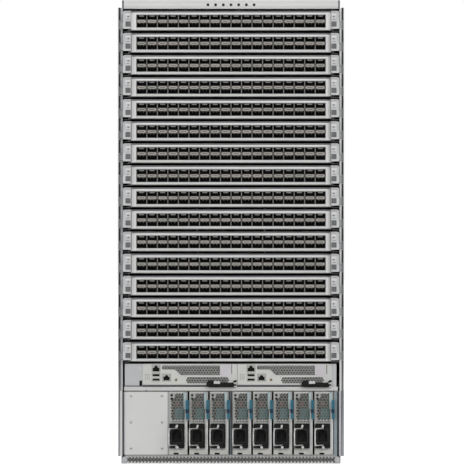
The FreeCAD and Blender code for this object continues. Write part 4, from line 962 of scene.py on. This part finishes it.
# Painted light: the foot's teeth in the brightest coat, where light shows past them.
foot_edge = on_face(0.95, -0.1, toothed(1.5, 5.2, 0.3))
front_piece("intake_foot_edge", foot_edge, HIGHLIGHT_PAINT)
head_edge = on_face(0.95, -0.1, toothed(13.6, 10.6, FOOT_TOP))
front_piece("intake_head_edge", head_edge, RIM_PAINT)
top_line = on_face(0.1, 0.6, centred(213.0, FOOT_TOP + 0.2, 17.5))
front_piece("intake_top_line", top_line, WALL_PAINT)

# The walls' front edges, closed above and below the channel of each lever's toe.
wall_top = corners("side_wall_left")[1][2]
CARD_PITCH = (CARD_LOW[0] - CARD_LOW[-1]) / (len(CARD_LOW) - 1)


def edge_strip(low, high):
    """Front edge of the left wall between two levels."""
    return on_face(-0.1, 11.4, oblong(-222.4, low, -217.95, high), edge=0.3)


between = moved(edge_strip(18.6, 48.6), z=CARD_LOW[-1])
edges = joined([
    rows(between, WALL_PAINT, levels=len(CARD_LOW) - 1, rise=CARD_PITCH),
    edge_strip(146.4, CARD_LOW[-1] + 4.2), edge_strip(CARD_LOW[0] + 18.6, wall_top - 0.4),
])
# Painted light: the right edge is in the brighter coat, as the light falls from the right; the left keeps
# the wall's grey.
piece("wall_edge_left", moved(edges), WALL_PAINT, "chassis")
piece("wall_edge_right", moved(mirrored(edges), x=0.6), PAINT, "chassis")
# Painted light: the left foot in a brighter coat than the right.
foot = on_face(0.3, 11.4, oblong(-223.2, 15.0, -219.0, 146.2), edge=0.3)
piece("wall_foot_left", moved(foot), PAINT, "chassis")
piece("wall_foot_right", moved(mirrored(foot), x=-1.4), FILLER_PAINT, "chassis")
# Painted highlight: pale strips along the brackets' outer edges.
lip = on_face(0.25, 0, oblong(-227.5, 15.0, -226.3, wall_top - 0.4))
lip_short = on_face(0.25, 0, oblong(226.3, 146.4, 227.5, wall_top - 0.4))
piece("bracket_lips", joined([moved(lip), lip_short]), FILLER_PAINT, "chassis")
tick = joined([on_face(0.3, 0, oblong(-226.4, z, -222.7, z + 1.2)) for z in (2.6, 18.8)])
ticks = rows(moved(tick, z=CARD_LOW[-1]), WALL_PAINT, levels=len(CARD_LOW), rise=CARD_PITCH)
piece("bracket_ticks", joined([moved(ticks), mirrored(ticks)]), WALL_PAINT, "chassis")

# ---- Rear: guards, jacks and vents ----

FAN_LEVELS = (326.2, 558.2, 790.2)
FAN_MOUTH = 64.8
GUARD_RINGS = (17, 31, 45, 58)
GUARD_SCREW_OUT = 58
GRIP_LOW, GRIP_HIGH = 633.0, 715.4
RING_STEPS = 40


def behind(mesh):
    """A mesh drawn facing the front at y = 0, turned to face the rear at the back of the chassis."""
    made = mesh.copy()
    made.transform(Matrix.Rotation(PI, 4, "Z"))
    made.transform(Matrix.Translation((0, REAR * MM, 0)))
    return made


def over(node, shift, thick):
    """A skin that thick over a copy of a solid, raised by shift in height: all in millimetres."""
    work = bmesh.new()
    work.from_mesh(frame["nodes"][node].data)
    bmesh.ops.remove_doubles(work, verts=work.verts, dist=0.001 * MM)
    bmesh.ops.recalc_face_normals(work, faces=work.faces)
    work.normal_update()
    for point in work.verts:
        point.co += point.normal * thick * MM + Vector((0, 0, shift * MM))
    made = bpy.data.meshes.new(node)
    work.to_mesh(made)
    work.free()
    return made


def ring(x, z, radius, wide, front, back):
    """A flat ring that wide, facing the front."""
    outer, inner = (disc(x, z, radius + half, RING_STEPS) for half in (wide / 2, -wide / 2))
    return plate(front, back, outer, [inner])


for side, (low, high) in TRAYS.items():
    tray = f"fan_tray_{side}"
    middle = (low[0] + high[0]) / 2
    guards, bolts = [], []
    for level in FAN_LEVELS:
        guards += [ring(-middle, level, radius, 2.0, -1.6, 0.2) for radius in GUARD_RINGS]
        bar = oblong(-middle - 64.5, level - 1.6, -middle + 64.5, level + 1.6)
        guards.append(plate(-1.4, 0.2, bar))
        bolts += [
            dome(x - middle, level + z, 0.0, 3.2, 1.6, 12)
            for x in (-GUARD_SCREW_OUT, GUARD_SCREW_OUT) for z in (-GUARD_SCREW_OUT, GUARD_SCREW_OUT)
        ]
    knobs = [dome(x - middle, z, 0.0, 4.2, 3.0) for z in (low[2] + 8, high[2] - 8) for x in (-62, 62)]
    # The upper and lower fans are of one solid with the tray: dark skins like the rotor that turns.
    still = [over(tray + "_rotor", level - FAN_LEVELS[1], 0.35) for level in FAN_LEVELS[::2]]
    outline = oblong(-middle - 70.6, low[2] + 1.0, -middle + 70.6, high[2] - 1.0, 1.5)
    mouths = [disc(-middle, level, FAN_MOUTH, RING_STEPS) for level in FAN_LEVELS]
    panel = plate(-0.8, 0.0, outline, mouths, 0.25)
    grip_y = high[1] - 5.5
    sleeve = wire([(middle, grip_y, GRIP_LOW), (middle, grip_y, GRIP_HIGH)], 5.4)
    for part, mesh, material in (
        ("guards", behind(joined(guards)), STEEL_WIRE),
        ("guard_screws", behind(joined(bolts)), SCREW_STEEL),
        ("thumb_screws", behind(joined(knobs)), SCREW_STEEL),
        ("still_rotors", joined([moved(mesh, y=0.3) for mesh in still]), BLACK_NYLON),
        ("rear_panel", behind(panel), WALL_PAINT), ("handle_grip", sleeve, BLACK_NYLON),
    ):
        piece(f"{tray}_{part}", mesh, material, tray)

for side in ("left", "right"):
    body = f"system_controller_{side}"
    low, high = corners(body)
    centre = -(low[0] + high[0]) / 2
    jack_x = -(low[0] + 20.0)
    shield_outline = oblong(jack_x - 17.4, low[2] + 10.2, jack_x + 1.2, low[2] + 30.4, 0.6)
    mouth = oblong(jack_x - 15.4, low[2] + 13.0, jack_x - 0.9, low[2] + 27.4)
    shield = plate(-0.6, 0.05, shield_outline, [mouth], 0.15)
    opening = oblong(centre - 62, low[2] + 9, centre + 70, high[2] - 9)
    vent = comb(opening, 6.2, 1.5, -0.9, 0.8, FOOT_MESH)
    shade = plate(-0.12, 0.05, oblong(centre - 65, low[2] + 6.5, centre + 73, high[2] - 6.5, 2.0))
    lights = [dome(centre - 74, low[2] + z, 0.0, 1.3, 0.6, 12) for z in (14.0, 20.0, 26.0)]
    knobs = [dome(centre + x, low[2] + 22.0, 0.0, 3.6, 2.4) for x in (-99.0, 99.0)]
    for part, mesh, material in (
        ("jack_shield", shield, TIN), ("vent", vent, FOOT_MESH), ("vent_shade", shade, DARK),
        ("lamps", joined(lights), LENS), ("thumb_screws", joined(knobs), SCREW_STEEL),
    ):
        piece(f"{body}_{part}", behind(mesh), material, body)

vent_low, vent_high = corners("rear_vent_panel")
opening = oblong(vent_low[0] + 8, vent_low[2] + 12, vent_high[0] - 8, vent_high[2] - 16)
cells = comb(opening, 8.4, 1.8, vent_high[1] - REAR + 1.6, 0.9, FOOT_MESH)
cells.transform(Matrix.Translation((0, REAR * MM, 0)))
piece("rear_vent_mesh", cells, FOOT_MESH, "chassis")
# Painted shade: a near-black sheet inside, behind the vent's mesh.
opening = oblong(vent_low[0] + 1, vent_low[2] + 1, vent_high[0] - 1, vent_high[2] - 1)
shade_sheet = plate(vent_low[1] - 6.0, vent_low[1] - 5.0, opening)
piece("rear_vent_shade_sheet", shade_sheet, DARK, "chassis")

# ---- Floor, light and camera ----

# Light from all round, and the floor's own glow that brings it to white for the camera.
AMBIENT = 0.36
FLOOR_GLOW = 0.74
FLOOR_GAP = 0.0005


def seen_white(tree):
    """1 for the camera and for rays that reflect or pass through, else 0."""
    rays = add(tree, "ShaderNodeLightPath").outputs
    either = add(tree, "ShaderNodeMath", {
        0: rays["Is Camera Ray"], 1: rays["Is Glossy Ray"],
    }, operation="MAXIMUM")
    return add(tree, "ShaderNodeMath", {
        0: either.outputs["Value"], 1: rays["Is Transmission Ray"],
    }, operation="MAXIMUM").outputs["Value"]


def floor_material():
    """Matt pale floor that reads white to the camera outside the object's shadow."""
    made = bpy.data.materials.new("matt_white_floor")
    made.use_nodes = True
    tree = made.node_tree
    tree.nodes.clear()
    glow = add(tree, "ShaderNodeMath", {0: seen_white(tree), 1: FLOOR_GLOW}, operation="MULTIPLY")
    shade = add(tree, "ShaderNodeBsdfPrincipled", {
        "Base Color": linear("ededed"), "Roughness": 0.9, "Emission Color": (1, 1, 1, 1),
        "Emission Strength": glow.outputs["Value"],
    })
    add(tree, "ShaderNodeOutputMaterial", {"Surface": shade.outputs["BSDF"]})
    return made


def floor():
    """Wide floor just under the part."""
    mesh = bpy.data.meshes.new("floor")
    mesh.from_pydata([(-30, -20, 0), (30, -20, 0), (30, 40, 0), (-30, 40, 0)], [], [(0, 1, 2, 3)])
    mesh.materials.append(floor_material())
    thing = bpy.data.objects.new("floor", mesh)
    thing.location.z = -FLOOR_GAP
    bpy.context.scene.collection.objects.link(thing)


def world():
    """Even light from all round, white to the camera."""
    made = bpy.data.worlds.new("studio")
    bpy.context.scene.world = made
    made.use_nodes = True
    tree = made.node_tree
    tree.nodes.clear()
    level = add(tree, "ShaderNodeMapRange", {
        "Value": seen_white(tree), "To Min": AMBIENT, "To Max": 1.0,
    })
    back = add(tree, "ShaderNodeBackground", {"Color": (1, 1, 1, 1), "Strength": level.outputs["Result"]})
    add(tree, "ShaderNodeOutputWorld", {"Surface": back.outputs["Background"]})


def lamp(name, spot, aim, size, level):
    """Square soft lamp. At level 1 it alone lights a facing white surface to white."""
    spot, aim = Vector(spot), Vector(aim)
    data = bpy.data.lights.new(name, "AREA")
    data.shape = "SQUARE"
    data.size = size
    data.energy = level * PI ** 2 * (aim - spot).length_squared
    thing = bpy.data.objects.new(name, data)
    thing.location = spot
    thing.rotation_euler = (aim - spot).to_track_quat("-Z", "Y").to_euler()
    bpy.context.scene.collection.objects.link(thing)


floor()
world()
lamp("key", (2.6, -6.0, 4.2), (0, -0.37, 0.45), 3.0, 0.37)
lamp("fill", (-3.4, -6.0, 1.8), (0, -0.37, 0.45), 3.0, 0.19)
lamp("rear", (0.8, 6.0, 3.6), (0, 0.37, 0.45), 3.5, 0.42)
lamp("left", (-6.0, 0.4, 1.6), (-0.23, 0, 0.45), 3.0, 0.17)
lamp("right", (6.0, 0.4, 1.6), (0.23, 0, 0.45), 3.0, 0.13)

# Width in metres that the view takes in at the face, and the camera's place before it.
SHOWN = 0.9345
DISTANCE = 10.7
AIM_X, AIM_Z = 0.002, 0.4662
SENSOR = 36.0
camera = bpy.data.cameras.new("camera")
camera.sensor_width = SENSOR
camera.lens = SENSOR * DISTANCE / SHOWN
camera.clip_end = 200.0
viewer = bpy.data.objects.new("camera", camera)
viewer.location = (AIM_X, FACE * MM - DISTANCE, AIM_Z)
viewer.rotation_euler = (PI / 2, 0, 0)
bpy.context.scene.collection.objects.link(viewer)
bpy.context.scene.camera = viewer
bpy.context.scene.view_settings.view_transform = "Standard"
